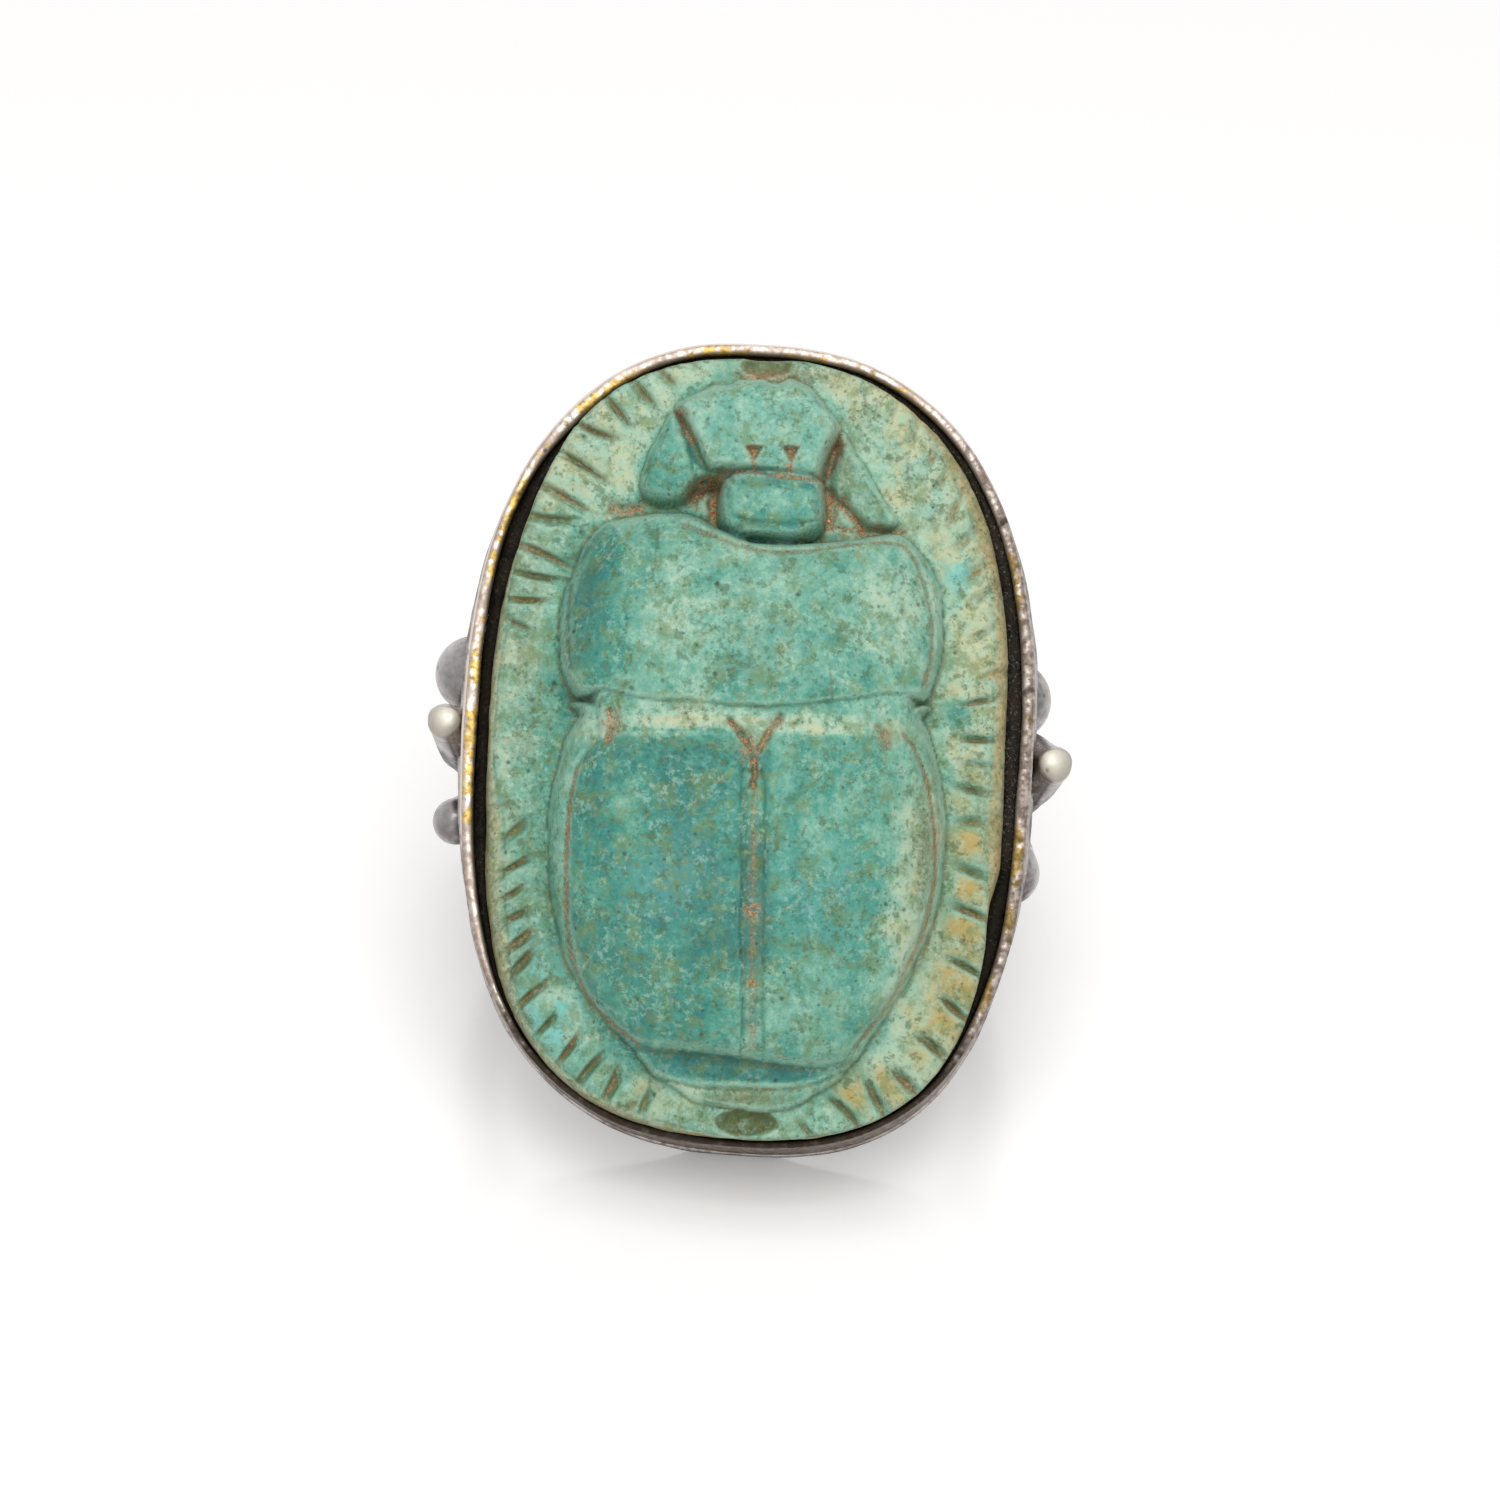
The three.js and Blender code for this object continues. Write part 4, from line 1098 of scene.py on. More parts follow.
@dataclass
class Scarab:
    """The carved stone: a plinth with a notched border, and the beetle on it.

    Sizes are in millimetres. The surface is a height over a grid, whose squares are drawn into
    the plinth's oval, with sides and an underside to close it.
    """

    ring: RingFrame
    bezel: Bezel
    plinth: Oval = Oval(8.49, 12.8, 2.59, 2.95)
    foot: float = 9.8
    edge_height: float = 13.85
    border_rise: float = 0.25
    clear: float = 0.04
    # how far the border's edge, and the stone's side under it, lie inside the rim's oval
    edge_inset: Turned = Turned((
        (180, 1.12), (170, 1.15), (160, 1.24), (157, 1.27), (155, 1.2), (150, 1.13), (145, 1.07),
        (140, 1.02), (135, 0.99), (130, 0.89), (125, 0.75), (120, 0.58), (115, 0.51), (110, 0.48),
        (105, 0.48), (100, 0.49), (90, 0.51), (85, 0.5), (80, 0.51), (75, 0.58), (70, 0.65),
        (66, 0.79), (60, 1.01), (55, 1.14), (50, 1.27), (45, 1.3), (35, 1.29), (25, 1.36),
        (17, 1.42), (10, 1.36), (5, 1.38), (0, 1.42), (-5, 1.42), (-10, 1.5), (-15, 1.58),
        (-20, 1.49), (-25, 1.34), (-30, 1.18), (-35, 1), (-40, 0.81), (-45, 0.66), (-50, 0.5),
        (-55, 0.38), (-60, 0.32), (-65, 0.32), (-70, 0.35), (-75, 0.4), (-80, 0.45), (-90, 0.52),
        (-92, 0.57), (-98, 0.77), (-105, 0.92), (-115, 0.91), (-125, 0.92), (-130, 1.04),
        (-135, 1.2), (-140, 1.42), (-145, 1.5), (-150, 1.51), (-155, 1.6), (-160, 1.57),
        (-165, 1.38), (-170, 1.24), (-175, 1.14),
    ))
    side_inset: Turned = Turned((
        (180, 0.9), (170, 0.9), (150, 0.94), (140, 0.97), (135, 0.93), (130, 0.87), (125, 0.73),
        (120, 0.57), (115, 0.49), (110, 0.46), (90, 0.49), (80, 0.49), (75, 0.56), (70, 0.62),
        (60, 0.64), (50, 0.7), (45, 0.71), (40, 0.81), (30, 0.86), (20, 0.88), (10, 0.94),
        (0, 0.95), (-10, 0.92), (-25, 0.86), (-28, 1), (-32, 1.08), (-35, 0.98), (-40, 0.79),
        (-45, 0.64), (-50, 0.5), (-55, 0.37), (-60, 0.31), (-65, 0.31), (-70, 0.34), (-80, 0.43),
        (-90, 0.47), (-100, 0.57), (-110, 0.59), (-130, 0.59), (-135, 0.61), (-140, 0.72),
        (-150, 0.82), (-160, 0.92), (-170, 0.91),
    ))
    # angle and half width in degrees, and depth, of each chip in the border's edge
    chips: Rows = (
        (19, 0.9, 0.42), (157.5, 1, 0.06), (-104.5, 1.2, 0.06), (43, 0.5, 0.1), (65, 0.5, 0.12),
    )
    turn: float = math.radians(1.8)
    shift: float = 0.18
    crown: Oval = Oval(7.1, 10.45, 2.9, 2.5)
    crown_place: float = -1.476
    crown_rise: float = 3.4
    least_rise: float = 0.5
    shield_rise: float = 0.2
    panel_sink: float = 0.24
    head: Oval = Oval(5.03, 4.36, 2.0, 2.0)
    head_place: float = 8.92
    head_rise: float = 1.95
    saddle_drop: float = 0.72
    cheek_drop: float = 0.4
    neck: Oval = Oval(1.8, 1.3, 3.4, 3.0)
    neck_place: tuple[float, float] = (0.53, 7.97)
    neck_rise: float = 1.97
    collar_rise: float = 2.15
    upper_ledge_rise: float = 0.86
    lower_ledge_rise: float = 0.34
    # place and half sizes of the hollow over each end of the thread hole
    drilled: Rows = ((-0.05, -12.5, 1.15, 0.5), (0.3, 12.75, 0.95, 0.4))
    drilled_depth: float = 0.62
    # where the two wedge marks lie across the head
    wedges: tuple[float, float] = (-0.09, 1.11)
    wedge_depth: float = 0.4
    cells_across: int = 232
    cells_along: int = 348
    side_rows: int = 10
    # angle in degrees, length, skew in degrees, depth
    notches: Rows = (
        (4.2, 1.35, 0, 0.3), (13.6, 1.3, 7, 0.26), (28.4, 1, 29, 0.16), (35.7, 0.95, 31, 0.18),
        (40.1, 1.05, 22, 0.2), (46.2, 1.2, 29, 0.2), (52.1, 1.2, 33, 0.2), (56.8, 1.1, 27, 0.2),
        (60.3, 1, 25, 0.2), (65.1, 1.2, 16, 0.18), (69.5, 0.95, 11, 0.16), (74.7, 0.7, 8, 0.14),
        (79.1, 0.6, 1, 0.1), (101.2, 0.5, 40, 0.14), (105.9, 1, 22, 0.24), (110.1, 1.4, 12, 0.28),
        (114.7, 1.5, 7, 0.3), (120.2, 1.6, 12, 0.32), (125.1, 2.1, 6, 0.32), (130.7, 2.1, -2, 0.32),
        (135.8, 1.9, 7, 0.3), (141, 2.1, 0, 0.3), (145.6, 2.1, -1, 0.3), (150.7, 1.6, 3, 0.28),
        (154.9, 1.1, -11, 0.2), (196.4, 0.5, 15, 0.14), (203.6, 1.1, 39, 0.24),
        (209.9, 1.15, 29, 0.28), (214.6, 0.85, 23, 0.28), (218.5, 0.9, 20, 0.3),
        (222.9, 1.2, 24, 0.32), (226.5, 1.15, 26, 0.3), (231.3, 1.4, 23, 0.3),
        (236.5, 1.1, 14, 0.28), (241.8, 1.5, 9, 0.3), (246.1, 1.5, 3, 0.32), (250.7, 1.3, -5, 0.32),
        (256.5, 1, -7, 0.28), (282.2, 0.85, 38, 0.2), (289, 1.6, 17, 0.3), (293.2, 1.6, 5, 0.34),
        (298.7, 1.5, 2, 0.36), (305.1, 1.5, -12, 0.36), (311.4, 1.4, -12, 0.36),
        (318.1, 1.4, -16, 0.36), (326.9, 1.4, -13, 0.34), (334.2, 1.3, -8, 0.3),
        (344.8, 1.1, -5, 0.24), (351.5, 1.4, -9, 0.28), (358, 1.2, -4, 0.2),
    )
    cuts: tuple[Cut, ...] = (
        Cut([(-2.5, 10.98), (-2.2, 10.19), (-1.9, 9.45), (-1.68, 9.04)], 0.17, 0.16, 0, 0.22),
        Cut([(-2.62, 11.1), (-2.35, 10.5), (-2.15, 10.1)], 0.13, 0.12, 0.85, 0.1),
        Cut([(2.72, 10.1), (2.45, 9.45), (2.2, 8.9)], 0.2, 0.26, 0.9, 0.15),
        Cut([(-1.15, 9.05), (-0.16, 9), (0.72, 8.86), (1.98, 8.76)], 0.07, 0.14, 0.8, 0.2),
        Cut([(-2.11, 8.36), (-1.7, 8.72), (-1.3, 8.75)], 0.26, 0.34, 1, 0.1),
        Cut([(-1.36, 8.72), (-1.38, 8.06), (-1.45, 7.55)], 0.17, 0.3, 1, 0.1),
        Cut([(2.3, 8.55), (2.5, 7.98), (2.42, 7.42)], 0.2, 0.3, 1, 0.1),
        Cut([(2.4, 8.5), (3, 7.99), (3.44, 7.49), (3.55, 7.2)], 0.17, 0.2, 1, 0),
        Cut([(2.6, 7.35), (3.2, 7.25), (4.1, 7.3)], 0.16, 0.12, 0.9, 0),
        Cut([(-0.3, 9.8), (-0.12, 9.3), (-0.1, 9.05)], 0.07, 0.05, 0.8, 0.1),
        Cut([(1.25, 9.7), (1.1, 9.3), (1.05, 8.95)], 0.08, 0.06, 0.95, 0.1),
        Cut([(-4.75, 7.85), (-4.3, 7.87), (-3.9, 7.92)], 0.2, 0.2, 0.9, 0),
        Cut([(3.8, 7.22), (4.9, 7.26)], 0.12, 0.16, 0.7, 0),
        Cut([
            (-2.3, 7.75), (-1.53, 7.34), (-0.89, 7.05), (-0.14, 6.84), (1, 6.76), (2, 6.9),
            (2.9, 7.03),
        ], 0.17, 0.1, 0.05, 0.5),
        Cut([
            (-2.4, 7.2), (-1.65, 6.92), (-0.89, 6.62), (0.12, 6.34), (1.13, 6.27), (2.39, 6.45),
            (3.39, 6.64), (4.52, 6.72), (5.1, 6.45), (5.55, 5.51), (5.85, 4.26), (5.84, 2.87),
            (5.6, 2),
        ], 0.07, 0.15, 0.5, 0.2),
        Cut([(-5.3, 6.93), (-4.17, 6.99)], 0.06, 0.07, 0.1, -0.2),
        Cut([(-3.26, 7.15), (-3.32, 6.27), (-3.41, 5.26)], 0.05, 0.05, 0.1, 0.2),
        Cut([(-4.23, 4.37), (-4.3, 3.36), (-4.42, 2.35)], 0.06, 0.05, 0, 0.2),
        Cut([(-6.1, 5.2), (-6.2, 3.6), (-6.05, 2.4)], 0.07, 0.1, 0.1, 0.3),
        Cut([(2.51, 2.45), (2.56, 1.44)], 0.04, 0.06, 0.3, 0.2),
        Cut([(-0.75, 0.6), (-0.25, -0.05), (0.06, -0.75), (0.02, -1.5)], 0.12, 0.3, 1, 0.2),
        Cut([(0.85, 0.66), (0.53, 0.29), (0.2, -0.3)], 0.11, 0.24, 0.8, 0.2),
        Cut([(-4.72, 0.95), (-4.6, 0.5), (-4.78, 0.05)], 0.17, 0.22, 0.9, 0.1),
        Cut([(4.1, 0.5), (4.3, 0.2), (4.44, -0.11)], 0.14, 0.2, 0.6, 0.1),
        Cut([
            (-5.8, -0.84), (-6.02, -2.08), (-6.1, -3.38), (-6.1, -5.07), (-5.98, -6.63),
            (-5.6, -7.92), (-4.9, -8.93), (-3.62, -10),
        ], 0.055, 0.12, 0.75, 0.1),
        Cut([
            (4.95, 0.3), (5.3, -0.1), (5.72, -1.1), (5.99, -2.56), (6.07, -4.12), (5.79, -5.81),
            (5.35, -6.99), (4.58, -8.56), (3.5, -9.95),
        ], 0.07, 0.12, 0.55, 0.15),
        Cut([(0.05, -1.6), (0.05, -4.5), (0.08, -7), (0.1, -10)], 0.1, 0.04, 0.35, 0),
        Cut([(-0.24, -1.6), (-0.22, -4.5), (-0.2, -7), (-0.2, -9.6)], 0.07, 0.05, 0, 0.18),
        Cut([(0.34, -1.6), (0.36, -4.5)], 0.06, 0.03, 0, 0.08),
    )
    # of each tint, its patches: place across and along, half sizes, strength, turn
    patches: tuple[tuple[Tint, Rows], ...] = (
        (Tint.DEEP, (
            (-5.3, 4.3, 1, 2.9, 0.36), (0.6, 1.6, 2.4, 0.7, 0.14), (-1.3, -3.6, 1.3, 4, 0.12),
            (-2.9, -0.6, 1.9, 0.7, 0.14), (-5, -4.5, 1.1, 3, 0.06), (2.2, -5.4, 1.6, 2.2, 0.12),
            (-1.3, -10.75, 2.2, 0.26, 0.5), (1.3, -11, 1.7, 0.18, 0.3), (-3.2, 9, 0.6, 1.3, 0.12),
            (-1.1, 10.4, 0.5, 0.6, 0.1), (0.6, 7.2, 1.6, 0.4, 0.26), (0.9, 1.9, 1, 0.5, 0.12),
            (6.9, 1.2, 0.4, 0.5, 0.3), (-3.2, 2.2, 0.6, 1, 0.08), (-4.9, 6, 0.7, 0.7, 0.12),
            (4.4, -1.6, 0.8, 0.8, 0.08), (-7.2, -6.4, 0.9, 2.6, 0.28),
            (-4.8, -10.8, 1.6, 1.4, 0.26), (0.06, -5.5, 0.36, 5, 0.42), (-7.6, -1, 1, 6, 0.18),
        )),
        (Tint.CYAN, (
            (-6.5, -9, 1.1, 1.7, 0.85), (-7.4, -6, 0.6, 1.8, 0.5), (6.9, 6.3, 0.7, 1.8, 0.7),
            (5.6, 8.4, 0.6, 1.2, 0.4), (7.2, -1.6, 0.6, 0.4, 0.6), (0.2, 3.4, 2.4, 1.2, 0.25),
            (-3, -4.4, 1.6, 1.6, 0.3), (2.3, -5.2, 1.4, 1.8, 0.35), (-3, 9.2, 0.6, 1, 0.3),
            (4.8, -12, 0.6, 0.5, 0.5), (0.6, 6.9, 2.4, 0.25, 0.5), (-4.4, 1.6, 0.6, 0.3, 0.4),
            (0.2, 10.7, 2.2, 1.2, 0.3), (5.6, 9.6, 1.4, 2.4, 0.2),
        )),
        (Tint.PALE, (
            (5.3, -4.5, 0.8, 4, 0.34), (4.6, 4.5, 1.5, 2.2, 0.27), (-2.8, 3.6, 1.2, 2.4, 0.08),
            (-4.2, -2, 0.9, 0.5, 0.3, 35), (1.2, -9.2, 2, 0.9, 0.14), (2.2, 0.6, 2.6, 0.3, 0.3),
            (-2.6, 0.6, 2.4, 0.25, 0.25), (-5.3, 0.4, 0.6, 0.6, 0.3), (5.9, 9.2, 1, 2.4, 0.2),
            (0.3, -11.3, 2.6, 0.18, 0.3), (-3.3, 0.2, 2.2, 0.12, 0.3), (2.8, 0.3, 2, 0.12, 0.3),
            (1.9, -2.6, 0.7, 0.9, 0.1), (6.7, 5.8, 0.9, 2.8, 0.3), (3.6, -7.6, 1.6, 1.6, 0.12),
        )),
        (Tint.MOSS, (
            (0.08, -5.5, 0.3, 5, 0.35), (0, -12.4, 1.4, 0.35, 0.9), (0.3, 12.6, 1.3, 0.4, 0.85),
            (1.1, 5.8, 0.4, 0.35, 0.5), (5.7, -4.8, 0.4, 2.4, 0.35), (-4.7, -0.1, 0.8, 0.5, 0.3),
            (0.5, 3.6, 1, 0.9, 0.25), (2.2, 12.3, 0.9, 0.3, 0.4), (-7.6, 8.2, 0.5, 3, 0.25),
            (-5.6, 5.2, 0.5, 1.2, 0.3), (-6, 3, 0.3, 1.4, 0.35), (-7.7, 2.2, 0.9, 4.6, 0.42),
            (-7.3, -6.4, 0.9, 2.6, 0.5), (0.2, -11.75, 1.9, 0.3, 0.8), (7, -8, 1.2, 3.4, 0.2),
            (-4, -8, 1.2, 1.2, 0.2), (5.75, -2, 0.45, 2.6, 0.55), (2.9, 9.4, 0.5, 1, 0.4),
            (-0.4, 2.3, 1.6, 0.3, 0.2),
        )),
        (Tint.OCHRE, (
            (6.7, -8.4, 1.2, 2.6, 0.7), (7.4, -3.6, 0.7, 1.8, 0.6), (7.4, -0.6, 0.5, 1, 0.35),
            (4.4, -11.4, 1.5, 0.9, 0.7), (-3.3, -11.9, 1, 0.5, 0.4), (0, -11.6, 1.2, 0.3, 0.3),
            (4.6, 0.4, 0.6, 0.5, 0.3), (7, -6, 0.7, 1.6, 0.4), (5.6, -3.6, 0.7, 2.6, 0.25),
        )),
        (Tint.DIRT, (
            (0.1, 12.4, 0.9, 0.25, 0.7), (0.05, -5.6, 0.22, 0.3, 0.9), (0.05, -8, 0.18, 0.26, 0.8),
            (-4.72, 0.5, 0.3, 0.45, 0.7), (4.35, 0.2, 0.25, 0.3, 0.6), (2.75, 10, 0.25, 0.6, 0.6),
            (-0.15, -0.25, 0.3, 0.5, 0.8),
        )),
    )
    # of each tint, its dabs on the border: angle in degrees, how far inside, strength
    dabs: tuple[tuple[Tint, Rows], ...] = (
        (Tint.OCHRE, (
            (-12, 0.9, 0.6), (-20.5, 0.7, 0.6), (-29.5, 0.8, 0.75), (-37.5, 0.8, 0.8),
            (-45.2, 0.8, 0.85), (-51.7, 0.9, 0.9), (-58, 0.9, 0.7), (-64, 1, 0.6), (-71, 1, 0.6),
            (-104, 0.9, 0.5), (-112, 0.7, 0.35), (160, 0.7, 0.35), (-3, 0.7, 0.4), (22, 0.6, 0.35),
        )),
        (Tint.CYAN, (
            (-16, 0.5, 0.6), (-24, 0.5, 0.6), (42, 0.9, 0.6), (47, 1.1, 0.6), (-122, 0.9, 0.5),
            (-127, 1, 0.6),
        )),
        (Tint.DEEP, (
            (12, 1.3, 0.4),
        )),
    )

    # Shape

    def _grid(self) -> tuple[np.ndarray, np.ndarray]:
        """The points of the grid, drawn from a square into the plinth's oval.

        A point (u, v) of the square, with m the larger of |u| and |v|, goes to
        m (a u, b v) / (|u|^n + |v|^n)^(1/n), so each smaller square becomes a smaller oval.
        """
        u = np.linspace(-1, 1, self.cells_across + 1)[None, :]
        v = np.linspace(-1, 1, self.cells_along + 1)[:, None]
        unit = replace(self.plinth, half_width=1.0, half_length=1.0)
        u, v = np.broadcast_arrays(u, v)
        scale = np.maximum(np.abs(u), np.abs(v)) / np.maximum(unit.level(u, v), 1e-9)
        x = self.plinth.half_width * u * scale
        y = self.plinth.half_length * v * scale
        angle = np.arctan2(y, x)
        share = self.plinth.level(x, y)
        reach = np.maximum(np.hypot(x, y), 1e-9)
        moved = (self.edge_radius(angle) - self.plinth.radius(angle)) * share**5
        return x * (1 + moved / reach), y * (1 + moved / reach)

    def edge_radius(self, angle: np.ndarray) -> np.ndarray:
        """How far the border's worn edge lies from the middle at each polar angle.

        Args:
            angle: Polar angles, in radians.

        Returns:
            The radius at each of them.
        """
        ring = np.stack([np.cos(angle), np.sin(angle), 0 * angle], axis=-1)
        inset = self.edge_inset.at(angle) + 0.025 * GRAIN.rough(9 * ring, 0.9)
        for place, width, depth in self.chips:
            inset = inset + depth * bell(angle, place, width)
        return self.bezel.rim.radius(angle) - inset

    def side_radius(self, angle: np.ndarray) -> np.ndarray:
        """How far the stone's side lies from the middle, where it stands inside the wall."""
        inset = np.maximum(self.side_inset.at(angle), self.bezel.inner_inset.at(angle) + self.clear)
        return self.bezel.rim.radius(angle) - inset

    def spots(self, x: np.ndarray, y: np.ndarray) -> Spots:
        """Places, also in the beetle's own frame, which is turned a little on the plinth."""
        c, s = math.cos(self.turn), math.sin(self.turn)
        bx, by = c * (x - self.shift) + s * y, -s * (x - self.shift) + c * y
        return Spots(x, y, bx, by, np.stack([x, y, 0 * x], axis=-1))

    def relief(self, at: Spots) -> tuple[np.ndarray, dict[str, np.ndarray]]:
        """Works out the carved surface.

        The height is the greatest of the ground and the beetle's parts. Each part stands over
        the ground by its crown times a rounded edge (1 - (1 - d/w)^2)^(1/2), where d is how far
        the point lies inside its outline and w the width of its edge. Cuts, notches and wear
        are then taken off, and the finish's values follow from what is left.

        Args:
            at: The places.

        Returns:
            The height at each place, and the finish's values there by name.
        """
        flat = at.flat
        inward = self._inward(at)
        ground = self.edge_height + self._border(inward)
        height, tone = self._raised(at, ground)
        dirt = self._cut(at, height, tone)
        notch, notch_dirt = self._notches(at)
        bare = ease((ground + 0.35 - height) / 0.3)
        height -= notch * bare
        dirt = np.maximum(dirt, notch_dirt * bare)
        drilled = self._drilled(at) * bare
        height -= self.drilled_depth * drilled
        height -= 0.02 + 0.02 * GRAIN.rough(flat, 1.6) + 0.012 * GRAIN.rough(flat + 11, 0.35, 2)

        small, large = self._hollows(height)
        tone += 0.8 * np.clip(large, 0, 0.3) + 1.5 * np.clip(small, 0, 0.08)
        tone += 0.1 * GRAIN.rough(flat + 3, 3.1)
        torn = ease(0.3 + 1.2 * GRAIN.rough(flat + 2, 0.9))
        dirt = np.maximum(dirt, 0.22 * ease((small - 0.02) / 0.05) * torn)
        tints = self._tints(at)
        ochre = tints[Tint.OCHRE] * (1 - ease(notch / 0.2)) + 0.3 * notch_dirt
        # Moss in the notches grows with their depth: the dark olive fill, and painted shade in
        # their valleys.
        moss = tints[Tint.MOSS] + 0.6 * ease((notch - 0.1) / 0.3) * bare + 0.8 * ease(2 * drilled)
        moss = moss + 0.45 * ease((small - 0.015) / 0.05)
        moss = moss + 0.3 * ease((0.35 - inward) / 0.5) * ease(0.4 + GRAIN.rough(flat + 17, 1.7))
        values = {
            "tone": tone + tints[Tint.DEEP] - tints[Tint.PALE],
            "dirt": np.maximum(dirt, tints[Tint.DIRT]),
            "ochre": ochre,
            "moss": moss,
            "wear": 0.6 * ease((-small - 0.012) / 0.04),
            "cyan": tints[Tint.CYAN],
        }
        return height, {name: np.clip(value, 0, 1) for name, value in values.items()}

    def _raised(self, at: Spots, ground: np.ndarray) -> tuple[np.ndarray, np.ndarray]:
        """Raises the beetle's parts over the ground, from the tail's ledges to the collar.

        Args:
            at: The places.
            ground: The border's height there.

        Returns:
            The height and the tone at each place.
        """
        bx, by = at.bx, at.by
        wobble = 0.05 * GRAIN.rough(at.flat, 1.1) + 0.02 * GRAIN.plain(at.flat + 5, 0.3)
        height = ground.copy()
        tone = 0.17 - 0.08 * np.cos(np.arctan2(at.y, at.x) - 0.8)
        crown = self._crown(at)
        head_top = self._head_top(at)
        base = np.full(bx.shape, self.edge_height + self.border_rise)

        def within(outline: list[tuple[float, float]]) -> np.ndarray:
            """How far each place lies inside one of the carving's outlines."""
            return outline_depth(bx, by, rounded_path(outline, True))

        def part(depth: np.ndarray, top: np.ndarray, edge: float, shade: float) -> None:
            """Joins a part to the surface, with its own tone.

            Args:
                depth: How far each place lies inside the part.
                top: The part's height, where it is whole.
                edge: How wide its rounded edge is.
                shade: Its tone.
            """
            share = np.clip((depth + wobble) / edge, 0, 1)
            raised = ground + (top - ground) * np.sqrt(1 - (1 - share) ** 2)
            wins = (raised > height) & (depth + wobble > 0)
            height[wins] = raised[wins]
            tone[wins] = shade

        lower = base + self.lower_ledge_rise + 0.12 * (by + 12.1)
        part(within(LOWER_LEDGE), lower, edge=0.22, shade=0.4)
        upper = base + self.upper_ledge_rise - 0.25 * np.clip(by + 11.4, 0, 1)
        part(within(UPPER_LEDGE), upper, edge=0.25, shade=0.66)

        body = np.minimum(5.5 - np.abs(bx), 2.6 - np.abs(by - 1.2))
        part(body, crown - 0.02, edge=0.6, shade=0.42)
        wings = within(WINGS)
        panel = np.maximum(within(LEFT_PANEL), within(RIGHT_PANEL)) + 0.5 * wobble
        sunk = 1 - np.sqrt(1 - (1 - np.clip(panel / 0.35, 0, 1)) ** 2)
        groove = np.exp(-(((bx - 0.06) / 0.5) ** 2)) * ease((0.4 - by) / 0.6)
        low = self.panel_sink * sunk * (1 - 0.5 * groove)
        part(wings, crown - low - 0.06 * groove * (panel < 0.1), edge=0.5, shade=0.44)
        tone += (panel > 0) * (wings > 0) * (0.32 - 0.18 * ease((bx - 0.3) / 0.6))
        shield = within(SHIELD)
        part(shield, crown + self.shield_rise + 0.08 * ease(shield / 1.5), edge=0.4, shade=0.53)

        slope = np.clip((bx - 2.5 + 0.25 * (by - 8.5)) / 1.7, 0, 1)
        part(within(RIGHT_CHEEK), base + 0.05 + 0.5 * slope, edge=0.3, shade=0.3)
        part(within(SADDLE), head_top - self.saddle_drop, edge=0.6, shade=0.6)
        part(within(LEFT_CHEEK), head_top - self.cheek_drop, edge=0.45, shade=0.54)
        part(within(HEAD), head_top, edge=0.4, shade=0.37)
        neck = self.neck.depth(bx - self.neck_place[0], by - self.neck_place[1])
        part(neck, base + self.neck_rise, edge=0.4, shade=0.66)
        part(within(COLLAR), base + self.collar_rise, edge=0.6, shade=0.56)
        return height, tone

    def _cut(self, at: Spots, height: np.ndarray, tone: np.ndarray) -> np.ndarray:
        """Takes the cuts and the two wedge marks off the height, and deepens the tone there.

        A cut is exp(-(d/w)^2) deep, where d is the distance from its run, a little ragged.

        Args:
            at: The places.
            height: The heights, which are changed.
            tone: The tones, which are changed.

        Returns:
            The earth that lies in the cuts.
        """
        dirt = np.zeros(height.shape)
        ragged = GRAIN.rough(at.flat + 23, 0.32, 2)
        for cut in self.cuts:
            away = path_distance(at.bx, at.by, rounded_path(cut.points, False, 5))
            away = away * (1 + 0.45 * ragged)
            shape = np.exp(-((away / cut.width) ** 2))
            height -= cut.depth * shape
            dirt = np.maximum(dirt, cut.dirt * np.exp(-((away / (1.1 * cut.width)) ** 2)))
            tone += cut.deep * shape
        for place in self.wedges:
            mark = self._wedge_mark(at, place)
            height -= self.wedge_depth * ease(mark / 0.14)
            dirt = np.maximum(dirt, 0.95 * ease(mark / 0.1))
        return dirt

    def _tints(self, at: Spots) -> dict[Tint, np.ndarray]:
        """How strongly each tint lies on the glaze: the sum of its patches and dabs.

        A patch is exp(-(e^2.6)), where e is its ellipse's level, and a dab exp(-(d/0.46)^3).

        Args:
            at: The places.

        Returns:
            Each tint's strength at each place.
        """
        tints = {tint: np.zeros(at.x.shape) for tint in Tint}
        uneven = 1 + 0.5 * GRAIN.rough(at.flat + 13, 1.4)
        for tint, rows in self.patches:
            for patch in (Patch(*row) for row in rows):
                c, s = math.cos(math.radians(patch.turn)), math.sin(math.radians(patch.turn))
                across = c * (at.bx - patch.x) + s * (at.by - patch.y)
                along = c * (at.by - patch.y) - s * (at.bx - patch.x)
                away = (across / patch.half_width) ** 2 + (along / patch.half_length) ** 2
                tints[tint] += patch.strength * np.exp(-((away * uneven) ** 1.3))
        uneven = 1 + 0.35 * GRAIN.rough(at.flat + 19, 0.8)
        for tint, rows in self.dabs:
            for degrees, inset, strength in rows:
                angle = np.array(math.radians(degrees))
                spot_x, spot_y = polar(self.edge_radius(angle) - inset, angle)
                away = np.hypot(at.x - spot_x, at.y - spot_y) / 0.46
                tints[tint] += strength * np.exp(-((away * uneven) ** 3))
        return tints

    def _inward(self, at: Spots) -> np.ndarray:
        """How far each point lies inside the border's worn edge.

        The distance along the radius is turned into one square to the edge by the share that
        the rim's oval has there.

        Args:
            at: The places.

        Returns:
            The depth at each place, negative outside.
        """
        angle = np.arctan2(at.y, at.x)
        reach = np.hypot(at.x, at.y)
        beyond = np.maximum(self.bezel.rim.radius(angle) - reach, 1e-3)
        square = self.bezel.rim.depth(at.x, at.y) / beyond
        return (self.edge_radius(angle) - reach) * np.clip(square, 0.5, 1.0)

